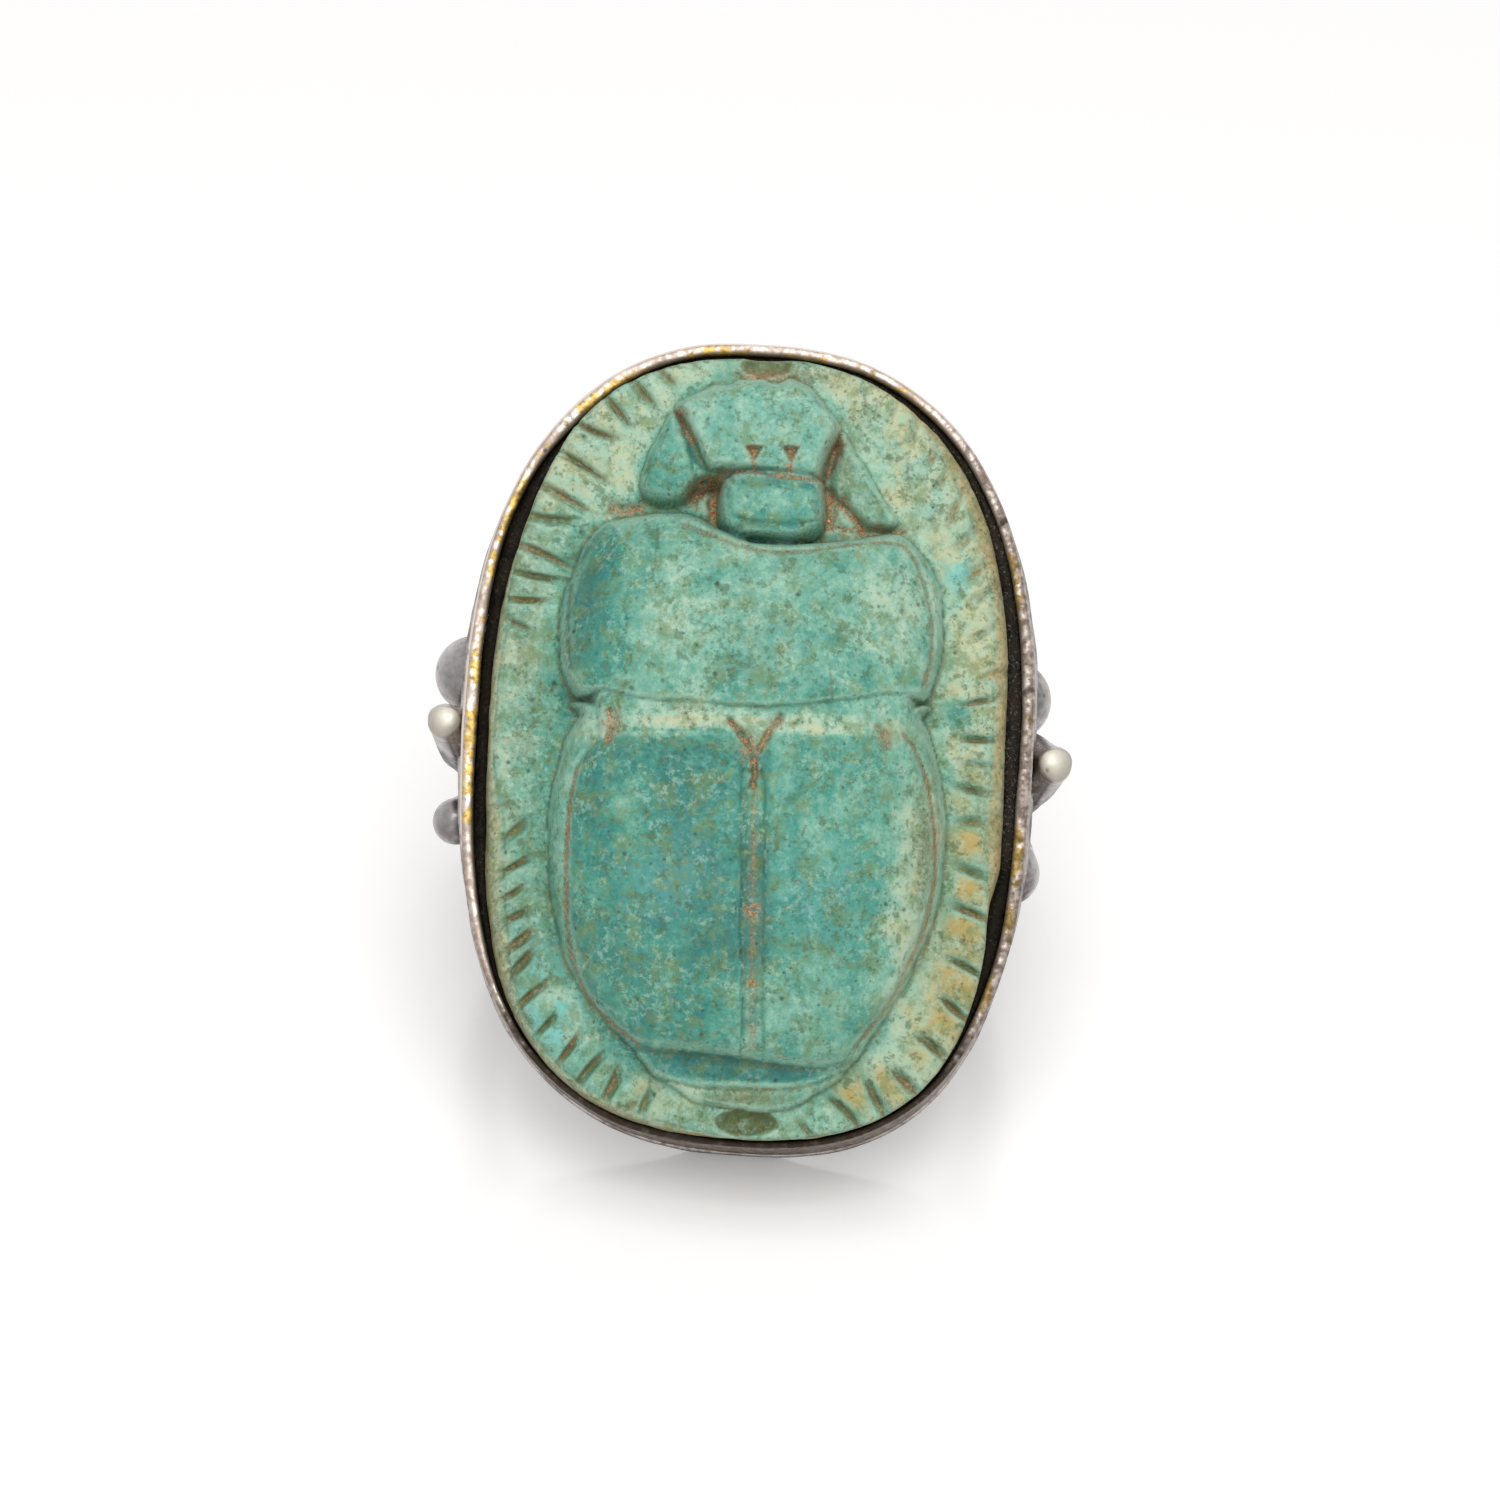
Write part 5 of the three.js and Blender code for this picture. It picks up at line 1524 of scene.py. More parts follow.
    def _border(self, inward: np.ndarray) -> np.ndarray:
        """The border over its edge: it rolls up from the edge, then dips to the beetle."""
        roll = 0.3 * np.sqrt(1 - (1 - np.clip((inward + 0.02) / 0.5, 0, 1)) ** 2)
        return roll - 0.14 * ease((inward - 1.0) / 0.8) - 0.06

    def _crown(self, at: Spots) -> np.ndarray:
        """The crown over shield and wing cases: rise (1 - r^2.4)^0.6 over the border."""
        level = np.clip(self.crown.level(at.bx, at.by - self.crown_place), 0, 1)
        rise = self.crown_rise * (1 - level**2.4) ** 0.6
        return self.edge_height + self.border_rise + np.maximum(rise, self.least_rise)

    def _head_top(self, at: Spots) -> np.ndarray:
        """The head's own crown, which slopes down to the front and sides from the neck."""
        level = np.clip(self.head.level(at.bx, at.by - self.head_place), 0, 1)
        return self.edge_height + self.border_rise + self.head_rise * (1 - level**2.4) ** 0.6

    @staticmethod
    def _wedge_mark(at: Spots, x: float) -> np.ndarray:
        """How far each point lies inside a small wedge, wide to the front."""
        corners = np.array([(x - 0.38, 9.93), (x + 0.38, 9.9), (x + 0.02, 9.28)])
        return outline_depth(at.bx, at.by, corners)

    def _notches(self, at: Spots) -> tuple[np.ndarray, np.ndarray]:
        """The border's notches and the earth in them.

        A notch runs inwards from the edge at its skew. Its depth is A (1 - (u/L)^2) along its
        length L, times a narrow and a wide bell across, so the ribs between are rounded.

        Args:
            at: The places.

        Returns:
            How deep the notches are and how much earth is in them, at each place.
        """
        depth = np.zeros(at.x.shape)
        dirt = np.zeros(at.x.shape)
        for i, (degrees, length, skew, deep) in enumerate(self.notches):
            angle = math.radians(degrees)
            start = polar(self.edge_radius(np.array(angle)), np.array(angle))
            inward = self.plinth.inward(angle)
            c, s = math.cos(math.radians(skew)), math.sin(math.radians(skew))
            run = np.array((c * inward[0] - s * inward[1], s * inward[0] + c * inward[1]))
            across, along = at.x - start[0], at.y - start[1]
            u = across * run[0] + along * run[1]
            bend = 0.1 * math.sin(2.3 * i)
            v = -across * run[1] + along * run[0] - bend * u * u
            fade = 1 - np.clip(np.maximum(u, 0) / (1.15 * length), 0, 1) ** 2
            fade = fade * (u > -0.9) * (0.5 + 0.5 * np.sin(np.clip(u / length, 0, 1) * math.pi))
            width = 0.15 + 0.03 * math.sin(5.1 * i)
            valley = 0.5 * np.exp(-((v / width) ** 4)) + 0.3 * np.exp(-((v / (2.6 * width)) ** 2))
            valley = valley + 0.2 * np.exp(-(((v - 0.3 * width) / (0.4 * width)) ** 2))
            depth = np.maximum(depth, 1.9 * deep * fade * valley)
            earth = (0.2 + 0.7 * abs(math.sin(1.7 * i + 0.4))) * (2.8 * deep)
            line = np.exp(-(((v - 0.3 * width) / (0.5 * width)) ** 2))
            dirt = np.maximum(dirt, earth * fade * line)
        return depth, np.clip(dirt, 0, 1)

    def _drilled(self, at: Spots) -> np.ndarray:
        """The smooth hollow over each end of the thread hole: (1 - r^2) over an ellipse."""
        total = np.zeros(at.x.shape)
        for x, y, half_width, half_length in self.drilled:
            away = ((at.bx - x) / half_width) ** 2 + ((at.by - y) / half_length) ** 2
            total = np.maximum(total, 1 - away)
        return np.clip(total, 0, 1)

    @staticmethod
    def _hollows(height: np.ndarray) -> tuple[np.ndarray, np.ndarray]:
        """How far each point lies under the mean height round it, near and wide."""

        def blurred(values: np.ndarray, reach: int) -> np.ndarray:
            """A running mean over a square of the grid, done twice."""
            for _ in range(2):
                for axis in (0, 1):
                    pad = [(0, 0), (0, 0)]
                    pad[axis] = (reach, reach)
                    total = np.cumsum(np.pad(values, pad, mode="edge"), axis=axis)
                    width = 2 * reach + 1
                    lead = np.take(total, range(width - 1, total.shape[axis]), axis=axis)
                    zero = np.zeros_like(np.take(total, [0], axis=axis))
                    trail = np.take(total, range(0, total.shape[axis] - width), axis=axis)
                    values = (lead - np.concatenate([zero, trail], axis=axis)) / width
            return values

        return blurred(height, 1) - height, blurred(height, 7) - height

    def skin(self) -> Skin:
        """The whole stone: the relief, its sides and its underside."""
        x, y = self._grid()
        height, values = self.relief(self.spots(x, y))
        high, wide = x.shape
        index = np.arange(high * wide).reshape(high, wide)
        quads = np.stack([index[:-1, :-1], index[:-1, 1:], index[1:, 1:], index[1:, :-1]], axis=-1)
        rim = np.concatenate([index[0, :-1], index[:-1, -1], index[-1, :0:-1], index[:0:-1, 0]])
        top = np.stack([x, y, height], axis=-1).reshape(-1, 3)
        edge = top[rim]
        angle = np.arctan2(edge[:, 1], edge[:, 0])
        reach = np.hypot(edge[:, 0], edge[:, 1])
        shown = self.bezel.rim.radius(angle) - self.side_inset.at(angle)
        level = edge[:, 2].min()
        drop = 0.28 + 0.75 * np.clip(shown - reach, 0, None) + 0.5 * (edge[:, 2] - level)
        rows = []
        for row in range(1, 6):
            lean = 0.5 * math.pi * row / 5
            out = reach + (shown - reach) * math.sin(lean)
            rows.append((out, edge[:, 2] - drop * (1 - math.cos(lean))))
        ledge = rows[-1][1]
        hidden = self.side_radius(angle)
        for share in np.linspace(0, 1, self.side_rows)[1:]:
            z = ledge + (self.foot - ledge) * share
            inside = ease((self.bezel.rim_height + 0.1 - z) / 0.15)
            rows.append((shown + (hidden - shown) * inside, z))
        rows = [self._side_row(out, angle, z) for out, z in rows]
        rings = np.stack(rows)
        count = len(rim)
        ring_index = len(top) + np.arange(len(rows) * count).reshape(len(rows), count)
        ring_index = np.concatenate([rim[None], ring_index])
        low, up = ring_index[:-1], ring_index[1:]
        sides = np.stack([low, up, np.roll(up, -1, 1), np.roll(low, -1, 1)], axis=-1).reshape(-1, 4)
        points = np.concatenate([top, rings.reshape(-1, 3), [(0, 0, self.foot)]])
        last = ring_index[-1]
        base = np.stack([np.full(count, len(points) - 1), np.roll(last, -1), last], axis=-1)
        skin = Skin(points, [quads.reshape(-1, 4), sides, base])
        # Painted light and shade on the stone's side: paler and more ochre towards the sunny right,
        # greener with more moss on the left and further down into the gap. Earth lies there too,
        # more of it to the right and lower down.
        sunny = ease((np.cos(angle - 0.3) - 0.1) / 0.5)
        deeper = ease((np.arange(len(rows))[:, None] + 0.5) / 3.5)
        side = {
            "tone": 0.2 - 0.2 * sunny,
            "dirt": 0.1 + 0.1 * sunny + 0.15 * deeper,
            "ochre": 0.15 + 0.3 * sunny,
            "moss": 0.2 + deeper * (0.75 - 0.45 * sunny),
        }
        for name, value in values.items():
            below = np.broadcast_to(side.get(name, 0.0), (len(rows), count))
            skin.values[name] = np.concatenate([value.reshape(-1), below.reshape(-1), [0.0]])
        return skin.facing_out()

    @staticmethod
    def _side_row(out: np.ndarray, angle: np.ndarray, z: np.ndarray) -> np.ndarray:
        """One row of the stone's side: points at radii and heights, a little uneven."""
        flat = polar(out, angle)
        uneven = 0.02 * GRAIN.rough(lifted(flat, z), 0.7)
        return lifted(flat * (1 + (uneven / out)[:, None]), z)

    def build(self, finishes: Finishes) -> None:
        """Makes the scarab and dresses it."""
        make_piece("carved_scarab", self.skin(), self.ring, finishes.glaze, ("scarab",))


# The bezel


@dataclass
class Bezel:
    """The box: a strip of sheet on a plate, with the pitch that beds the stone."""

    ring: RingFrame
    rim: Oval = Oval(9.55, 13.5, 2.44, 2.61)
    thickness: float = 0.48
    flare: float = 0.3
    plate_underside: float = 7.8
    plate_top: float = 8.6
    seam: float = 0.05
    rim_height: float = 13.0
    rim_rise: float = 0.12
    burr: float = 0.75
    count: int = 720
    # how far the rim's outer edge stands out from its oval, and its inner edge lies inside it
    outer_reach: Turned = Turned((
        (180, 0), (160, 0.02), (130, 0.04), (120, 0.06), (115, 0.08), (110, 0.12), (105, 0.14),
        (100, 0.14), (90, 0.1), (80, 0.1), (75, 0.05), (70, 0.03), (30, 0.03), (20, 0.05), (10, 0),
        (0, -0.02), (-20, -0.02), (-30, 0), (-40, 0), (-50, 0), (-60, -0.02), (-65, -0.05),
        (-70, -0.1), (-80, -0.19), (-90, -0.26), (-100, -0.32), (-110, -0.37), (-115, -0.38),
        (-120, -0.34), (-130, -0.22), (-140, -0.12), (-150, -0.08), (-160, -0.05), (-170, -0.02),
    ))
    foot_reach: Turned = Turned((
        (180, -0.06), (90, 0), (20, 0), (0, -0.08), (-20, -0.1), (-30, -0.16), (-40, -0.22),
        (-50, -0.16), (-60, -0.1), (-70, -0.15), (-80, -0.25), (-90, -0.33), (-100, -0.45),
        (-110, -0.55), (-115, -0.57), (-120, -0.52), (-130, -0.4), (-140, -0.35), (-150, -0.3),
        (-160, -0.2), (-170, -0.1),
    ))
    inner_inset: Turned = Turned((
        (180, 0.51), (170, 0.51), (150, 0.44), (140, 0.36), (130, 0.36), (120, 0.46), (110, 0.32),
        (105, 0.26), (100, 0.26), (90, 0.27), (80, 0.3), (60, 0.36), (40, 0.39), (20, 0.41),
        (0, 0.46), (-10, 0.51), (-30, 0.44), (-45, 0.39), (-55, 0.27), (-60, 0.22), (-65, 0.24),
        (-70, 0.31), (-80, 0.4), (-90, 0.46), (-100, 0.56), (-110, 0.6), (-115, 0.6), (-125, 0.5),
        (-135, 0.43), (-140, 0.48), (-170, 0.48),
    ))
    pitch_level: Turned = Turned((
        (180, 11.9), (150, 11.9), (130, 12.2), (118, 12.6), (60, 12.6), (50, 12.65), (40, 12.75),
        (-20, 12.8), (-26, 12.1), (-44, 12.1), (-52, 12.55), (-125, 12.55), (-140, 12.2),
        (-160, 11.9),
    ))
    # centre and half width in degrees of the stretches where gilding is left
    gilding: Rows = (
        (165, 9, 0.9), (178, 8, 0.95), (189, 7, 1), (196, 4, 0.7), (136, 9, 0.85), (147, 5, 0.7),
        (115, 8, 0.85), (98, 9, 0.6), (80, 9, 0.55), (64, 7, 0.5), (35, 9, 0.7), (8, 6, 0.5),
        (-19, 9, 1), (-30, 6, 0.7), (-43.5, 4.5, 0.85),
    )
    # angle, half width in degrees and depth of each nick and joint in the rim
    nicks: Rows = (
        (44.2, 0.4, 0.14), (14.2, 0.3, 0.08), (231, 0.4, 0.05), (121, 0.3, 0.05), (-58, 0.4, 0.05),
    )

    def outline(self, height: float, grow: float = 0.0) -> Oval:
        """The box's outline at a height, which leans out evenly from the rim to the plate."""
        span = self.rim_height - self.plate_underside
        return self.rim.grown(self.flare * (self.rim_height - height) / span + grow)

    def wall_radius(self, angles: np.ndarray, height: float, share: float) -> np.ndarray:
        """How far the wall lies from the middle: r + reach - share * thickness.

        The rim is worn and bent, as reach and thickness say; both run out towards the foot.

        Args:
            angles: Polar angles.
            height: The height on the wall.
            share: 0 for its outer face, 1 for its inner one.

        Returns:
            The radius at each angle.
        """
        foot = self.plate_top + self.seam
        top = ease(np.clip((height - foot) / (self.rim_height - foot), 0, 1))
        foot_reach = self.foot_reach.at(angles)
        rim_reach = self.outer_reach.at(angles)
        worn = self.inner_inset.at(angles) + rim_reach
        thickness = self.thickness + (worn - self.thickness) * top
        reach = foot_reach + (rim_reach - foot_reach) * top
        return self.outline(height).radius(angles) + reach - share * thickness

    def wall(self) -> Skin:
        """The wall: its section goes up the outside, over a worn round rim and down inside.

        Each row is the box's oval, grown by the section's offset and pushed by noise.
        """
        foot = self.plate_top + self.seam
        shoulder = self.rim_height - self.rim_rise
        section = [(0.0, z) for z in np.linspace(foot, shoulder - 0.02, 12)]
        for a in np.linspace(0, math.pi, 11):
            section.append((0.5 - 0.5 * math.cos(a), shoulder + self.rim_rise * math.sin(a)))
        section += [(1.0, z) for z in np.linspace(shoulder - 0.02, foot, 7)]
        angles = around(self.count)
        ring = np.stack([np.cos(angles), np.sin(angles), 0 * angles], axis=-1)
        dents = 0.02 * GRAIN.rough(10 * ring, 1.4)
        droop = 0.03 * GRAIN.rough(10 * ring + 4, 4.0) + 0.02 * GRAIN.rough(10 * ring + 2, 0.5)
        nicks = np.zeros(self.count)
        for place, width, depth in self.nicks:
            nicks += depth * bell(angles, place, width)
        rows, gilt, hollow, bright = [], [], [], []
        for share, z in section:
            near_rim = ease((z - self.rim_height + 0.6) / 0.5)
            radius = self.wall_radius(angles, z, share) + dents * near_rim
            flat = polar(radius, angles)
            rough = 0.02 * GRAIN.rough(lifted(flat, z), 0.35, 2)
            rows.append(lifted(flat, z + (droop - nicks) * near_rim + rough * near_rim))
            inner = ease((share - 0.25) / 0.35)
            gilt.append(self._gilt(angles) * near_rim * (0.62 + 0.38 * inner))
            # Painted shade: the inner face darkens below the rim, down into the gap. Both faces are
            # also a little darker towards the foot.
            deep = ease((self.rim_height - 0.2 - z) / 0.5) * (share > 0.9)
            deep = deep + 0.1 * ease((foot + 0.5 - z) / 0.5)
            crest = near_rim * (0.25 + 0.75 * ease((share + 0.3) / 0.5))
            # Tarnish and painted shade at the tail end, where the ring stands, and painted shade on
            # the right side; stronger on the rim.
            tarnish_and_shade = self._tarnish_and_painted_shade(angles) * (0.55 + 0.45 * crest)
            hollow.append(np.full(self.count, deep) + 2.5 * nicks * near_rim + tarnish_and_shade)
            bright.append(0.8 * near_rim * (1 - ease((share - 0.05) / 0.2)) * self._shiny(angles))
        skin = loft(np.stack(rows), ringed=True)
        skin.values = {
            "gilt": np.concatenate(gilt),
            "hollow": np.concatenate(hollow),
            "rubbed": np.concatenate(bright),
        }
        return skin

    def _gilt(self, angles: np.ndarray) -> np.ndarray:
        """How much gilding is left at each angle."""
        total = np.full(angles.shape, 0.08)
        for place, width, amount in self.gilding:
            total = np.maximum(total, amount * bell(angles, place, width))
        return total

    @staticmethod
    def _tarnish_and_painted_shade(angles: np.ndarray) -> np.ndarray:
        """Dark at the tail end, partly tarnish and partly painted shade, and painted shade at the
        right.
        """
        tail = 0.85 * ease((-np.sin(angles) - 0.6) / 0.3)
        return np.maximum(tail, 0.42 * ease((np.cos(angles) - 0.3) / 0.4))

    @staticmethod
    def _shiny(angles: np.ndarray) -> np.ndarray:
        """A bright outer edge at the sides and the head, where hands rub it."""
        return ease((np.sin(angles) + 0.6) / 0.4)

    def plate(self) -> Skin:
        """The plate: an oval sheet with a softened edge, as scaled ovals from middle to middle.

        A burr hangs under its tail end, where the ring stands.
        """
        low, top = self.plate_underside, self.plate_top
        section = [(share, 0.0, low) for share in (0.04, 0.3, 0.6, 0.85, 0.97)]
        section += [(1.0, -0.06, low), (1.0, -0.015, low + 0.02), (1.0, 0.0, low + 0.08)]
        section += [(1.0, 0.0, top - 0.08), (1.0, -0.015, top - 0.02), (1.0, -0.06, top)]
        section += [(share, 0.0, top) for share in (0.97, 0.6, 0.04)]
        angles = around(self.count)
        burr = self.burr * bell(angles, -90, 9)
        rows = []
        for share, offset, z in section:
            reach = self.outline(z, offset).radius(angles) + self.foot_reach.at(angles)
            sag = burr * ease((share - 0.9) / 0.1) * ease((low + 0.3 - z) / 0.3)
            rows.append(lifted(polar(share * reach, angles), z - sag))
        skin = loft(np.stack(rows))
        edge = ease((self.outline(low).level(skin.points[:, 0], skin.points[:, 1]) - 0.93) / 0.05)
        skin.values = {"hollow": 0.1 * edge}
        return skin

    def pitch(self, stone: Scarab) -> Skin:
        """The pitch: a dish whose lumpy top fills the gap round the stone.

        Its rows go out over the floor, up the wall, across the gap and down along the stone.

        Args:
            stone: The scarab, whose sides the dish follows.

        Returns:
            The dish's skin.
        """
        floor = self.plate_top + self.seam
        seat = stone.foot - self.seam
        angles = around(self.count)
        ring = np.stack([9 * np.cos(angles), 9 * np.sin(angles), 0 * angles], axis=-1)
        level = self.pitch_level.at(angles) + 0.1 * GRAIN.rough(ring, 2.0)
        outer = polar(self.wall_radius(angles, 12.4, 1.0) - 0.01, angles)
        inner = polar(stone.side_radius(angles) - 0.02, angles)
        rows = []
        for share in (0.05, 0.6, 1.0):
            reach = share * (self.wall_radius(angles, floor, 1.0) - 0.02)
            rows.append(lifted(polar(reach, angles), floor))
        for share in np.linspace(0, 1, 9):
            flat = outer + (inner - outer) * share
            crest = 0.14 * math.sin(math.pi * share) - 0.1
            lumps = 0.08 * GRAIN.rough(lifted(flat, 3.0), 0.4, 3)
            rows.append(lifted(flat, level + crest + lumps))
        rows.append(lifted(inner, seat))
        rows.append(lifted(0.05 * inner, seat))
        skin = loft(np.stack(rows))
        height = ease((skin.points[:, 2] - 12.2) / 0.4)
        skin.values = {"grit": 0.25 + 0.75 * height * ease(skin.points[:, 0] / 4)}
        return skin

    def build(self, finishes: Finishes, stone: Scarab) -> None:
        """Makes and dresses the wall, the plate, the pitch and the line of solder.

        Args:
            finishes: The ring's finishes.
            stone: The scarab, which the pitch holds.
        """
        for name, skin, finish, slot, node in (
            ("strip_wall", self.wall(), finishes.gilt, Slot.GILT, "bezel_wall"),
            ("closing_plate", self.plate(), finishes.dull, Slot.DULL, "bezel_base_plate"),
            ("setting_pitch", self.pitch(stone), finishes.pitch, Slot.PITCH, "pitch_bed"),
        ):
            make_piece(name, skin, self.ring, finish, (node,))
        middle = self.plate_top + 0.5 * self.seam
        angles = around(self.count)
        flat = polar(self.wall_radius(angles, middle, 0.0) - 0.02, angles)
        solder = bead(lifted(flat, middle), 0.1, 0.0)
        solder.values = {"hollow": np.full(len(solder.points), 0.12)}
        make_piece("wall_solder", solder, self.ring, finishes.dull)


# The hoop and its shoulders


@dataclass
class Shank:
    """The hoop, D-shaped in section, and the two fans that join it to the plate."""

    ring: RingFrame
    bezel: Bezel
    hole: float = 8.5
    thickness: float = 1.5
    width: float = 4.0
    dome: float = 0.65
    seam_height: float = 3.5
    seam: float = 0.05
    top_width: float = 7.4
    top_inset: float = 0.42
    flare: float = 3.2
    flute_depth: float = 0.09
    around_count: int = 260
    across_count: int = 40

    def _section(self, half: float, land: float, crown: float, inner: float) -> np.ndarray:
        """A D: flat inside and at the sides, domed on its back, with softened corners.

        Args:
            half: Half its width.
            land: The radius at which the flat sides end.
            crown: The radius of its crown.
            inner: The radius of its flat inside.

        Returns:
            An (n, 2) array of radius and place along the finger.
        """
        corner = 0.16
        swell = np.linspace(-0.5, 0.5, self.across_count) * math.pi
        back = np.stack([land + (crown - land) * np.cos(swell), half * np.sin(swell)], axis=-1)
        turn = np.linspace(0, 0.5, 6) * math.pi
        upper = [inner + corner * (1 - np.sin(turn)), half - corner * (1 - np.cos(turn))]
        upper = np.stack(upper, axis=-1)
        inside = np.linspace(half - corner, -half + corner, 12)[1:-1]
        flat = np.stack([np.full(inside.shape, inner), inside], axis=-1)
        lower = upper[::-1] * (1, -1)
        return np.concatenate([back, upper, flat, lower])

    def hoop(self) -> Skin:
        """The hoop: its section turned about Y, cut square where the shoulders start.

        A point of radius r runs from the angle at which r sin a is the seam's height, down
        through the lowest point and up to the same height on the other side.
        """
        outer = self.hole + self.thickness
        section = self._section(self.width / 2, outer - self.dome, outer, self.hole)
        top = self.seam_height - self.seam / 2
        start = np.arcsin(top / section[:, 0])
        share = np.linspace(0, 1, self.around_count)[:, None]
        angle = start * (1 - share) + (-math.pi - start) * share

        def turned(radius: np.ndarray | float) -> np.ndarray:
            """The section's points at a radius, turned about the finger."""
            along = 0 * angle + section[:, 1]
            return np.stack([radius * np.cos(angle), along, radius * np.sin(angle)], axis=-1)

        worn = 0.04 * GRAIN.rough(turned(9.0), 2.5)
        away = ease((section[:, 0] - self.hole - 0.3) / 0.4)
        away = away * ease(4 * np.minimum(share, 1 - share) / 0.2)
        rows = turned(section[:, 0] + worn * away - 0.02 * away)
        rows[0, :, 2] = top
        rows[-1, :, 2] = top
        skin = loft(rows)
        inner = np.hypot(skin.points[:, 0], skin.points[:, 2]) < self.hole + 0.1
        ends = ease((skin.points[:, 2] - self.seam_height + 0.6) / 0.6)
        skin.values = {"hollow": np.maximum(0.3 * inner, 0.5 * ends)}
        return skin

    def _fan_section(self, height: float) -> np.ndarray:
        """The shoulder's section at a height: the hoop's D at the seam, a broad fan above.

        Args:
            height: The height, between seam and plate.

        Returns:
            An (n, 2) array of radius and place along the finger.
        """
        outer = self.hole + self.thickness
        land_radius = outer - self.dome
        span = self.bezel.plate_underside - self.seam_height
        t = np.array((height - self.seam_height) / span)
        crown_top = self.bezel.outline(self.bezel.plate_underside).half_width - self.top_inset
        at_seam = math.sqrt(outer**2 - self.seam_height**2)
        lean = -self.seam_height / at_seam * span
        crown = float(hermite(at_seam, lean, crown_top, 0, t))
        land_seam = math.sqrt(land_radius**2 - self.seam_height**2)
        land = float(hermite(land_seam, lean, crown_top - self.dome, 0, t))
        half = float(hermite(self.width / 2, 0, self.top_width / 2, self.flare, t))
        inner = math.sqrt(self.hole**2 - height**2)
        return self._section(half, land, crown, inner)

    def fan(self, side: int) -> Skin:
        """A shoulder, as sections from the seam to the plate.

        Two shallow flutes run up its back, each a bell across the section that deepens
        towards the plate.

        Args:
            side: 1 for the right, -1 for the left.

        Returns:
            The shoulder's skin.
        """
        low = math.asin((self.seam_height + self.seam / 2) / self.hole)
        high = math.asin((self.bezel.plate_underside - self.seam) / self.hole)
        rows = []
        for angle in np.linspace(low, high, 44):
            z = self.hole * math.sin(angle)
            section = self._fan_section(z)
            share = (z - self.seam_height) / (self.bezel.plate_underside - self.seam_height)
            half = np.abs(section[:, 1]).max()
            back = section[:, 0] > section[self.across_count // 8, 0]
            flute = np.zeros(len(section))
            for place in (-0.62, 0.62):
                flute += np.exp(-(((section[:, 1] / half - place) / 0.07) ** 2))
            fade = math.sin(math.pi * min(1.0, 0.15 + share))
            section[:, 0] -= back * flute * self.flute_depth * fade
            rows.append(lifted(section * (side, 1), z))
        skin = loft(np.stack(rows))
        ends = ease((skin.points[:, 2] - self.bezel.plate_underside + 0.8) / 0.8)
        foot = ease((self.seam_height + 0.5 - skin.points[:, 2]) / 0.5)
        skin.values = {"hollow": np.maximum(0.6 * ends, 0.45 * foot)}
        return skin

    def _solder(self, height: float, side: int) -> np.ndarray:
        """The closed path of a line of solder round a shoulder at a height."""
        return lifted(self._fan_section(height) * (side, 1), height)

    def build(self, finishes: Finishes) -> None:
        """Makes and dresses the hoop, its shoulders and their solder."""
        make_piece("finger_hoop", self.hoop(), self.ring, finishes.dull, ("shank_hoop",))
        for side, name in ((-1, "left"), (1, "right")):
            node = (f"{name}_shoulder",)
            make_piece(f"{name}_fan", self.fan(side), self.ring, finishes.dull, node)
            for end, height, radius in (
                ("hoop", self.seam_height, 0.07),
                ("plate", self.bezel.plate_underside - self.seam / 2, 0.09),
            ):
                solder = bead(self._solder(height, side), radius, side + height)
                solder.values = {"hollow": np.full(len(solder.points), 0.45)}
                make_piece(f"{name}_{end}_solder", solder, self.ring, finishes.dull)


@dataclass(frozen=True)
class Bud:
    """A bud's sizes, as measured along the finger from the hoop's middle."""

    place: float
    root_place: float
    half_width: float
    tip_half_width: float
    reach: float
    below_rim: float


@dataclass(frozen=True)
class Petal:
    """A petal's sizes."""

    place: float
    radius: float
    reach: float
    below_plate: float


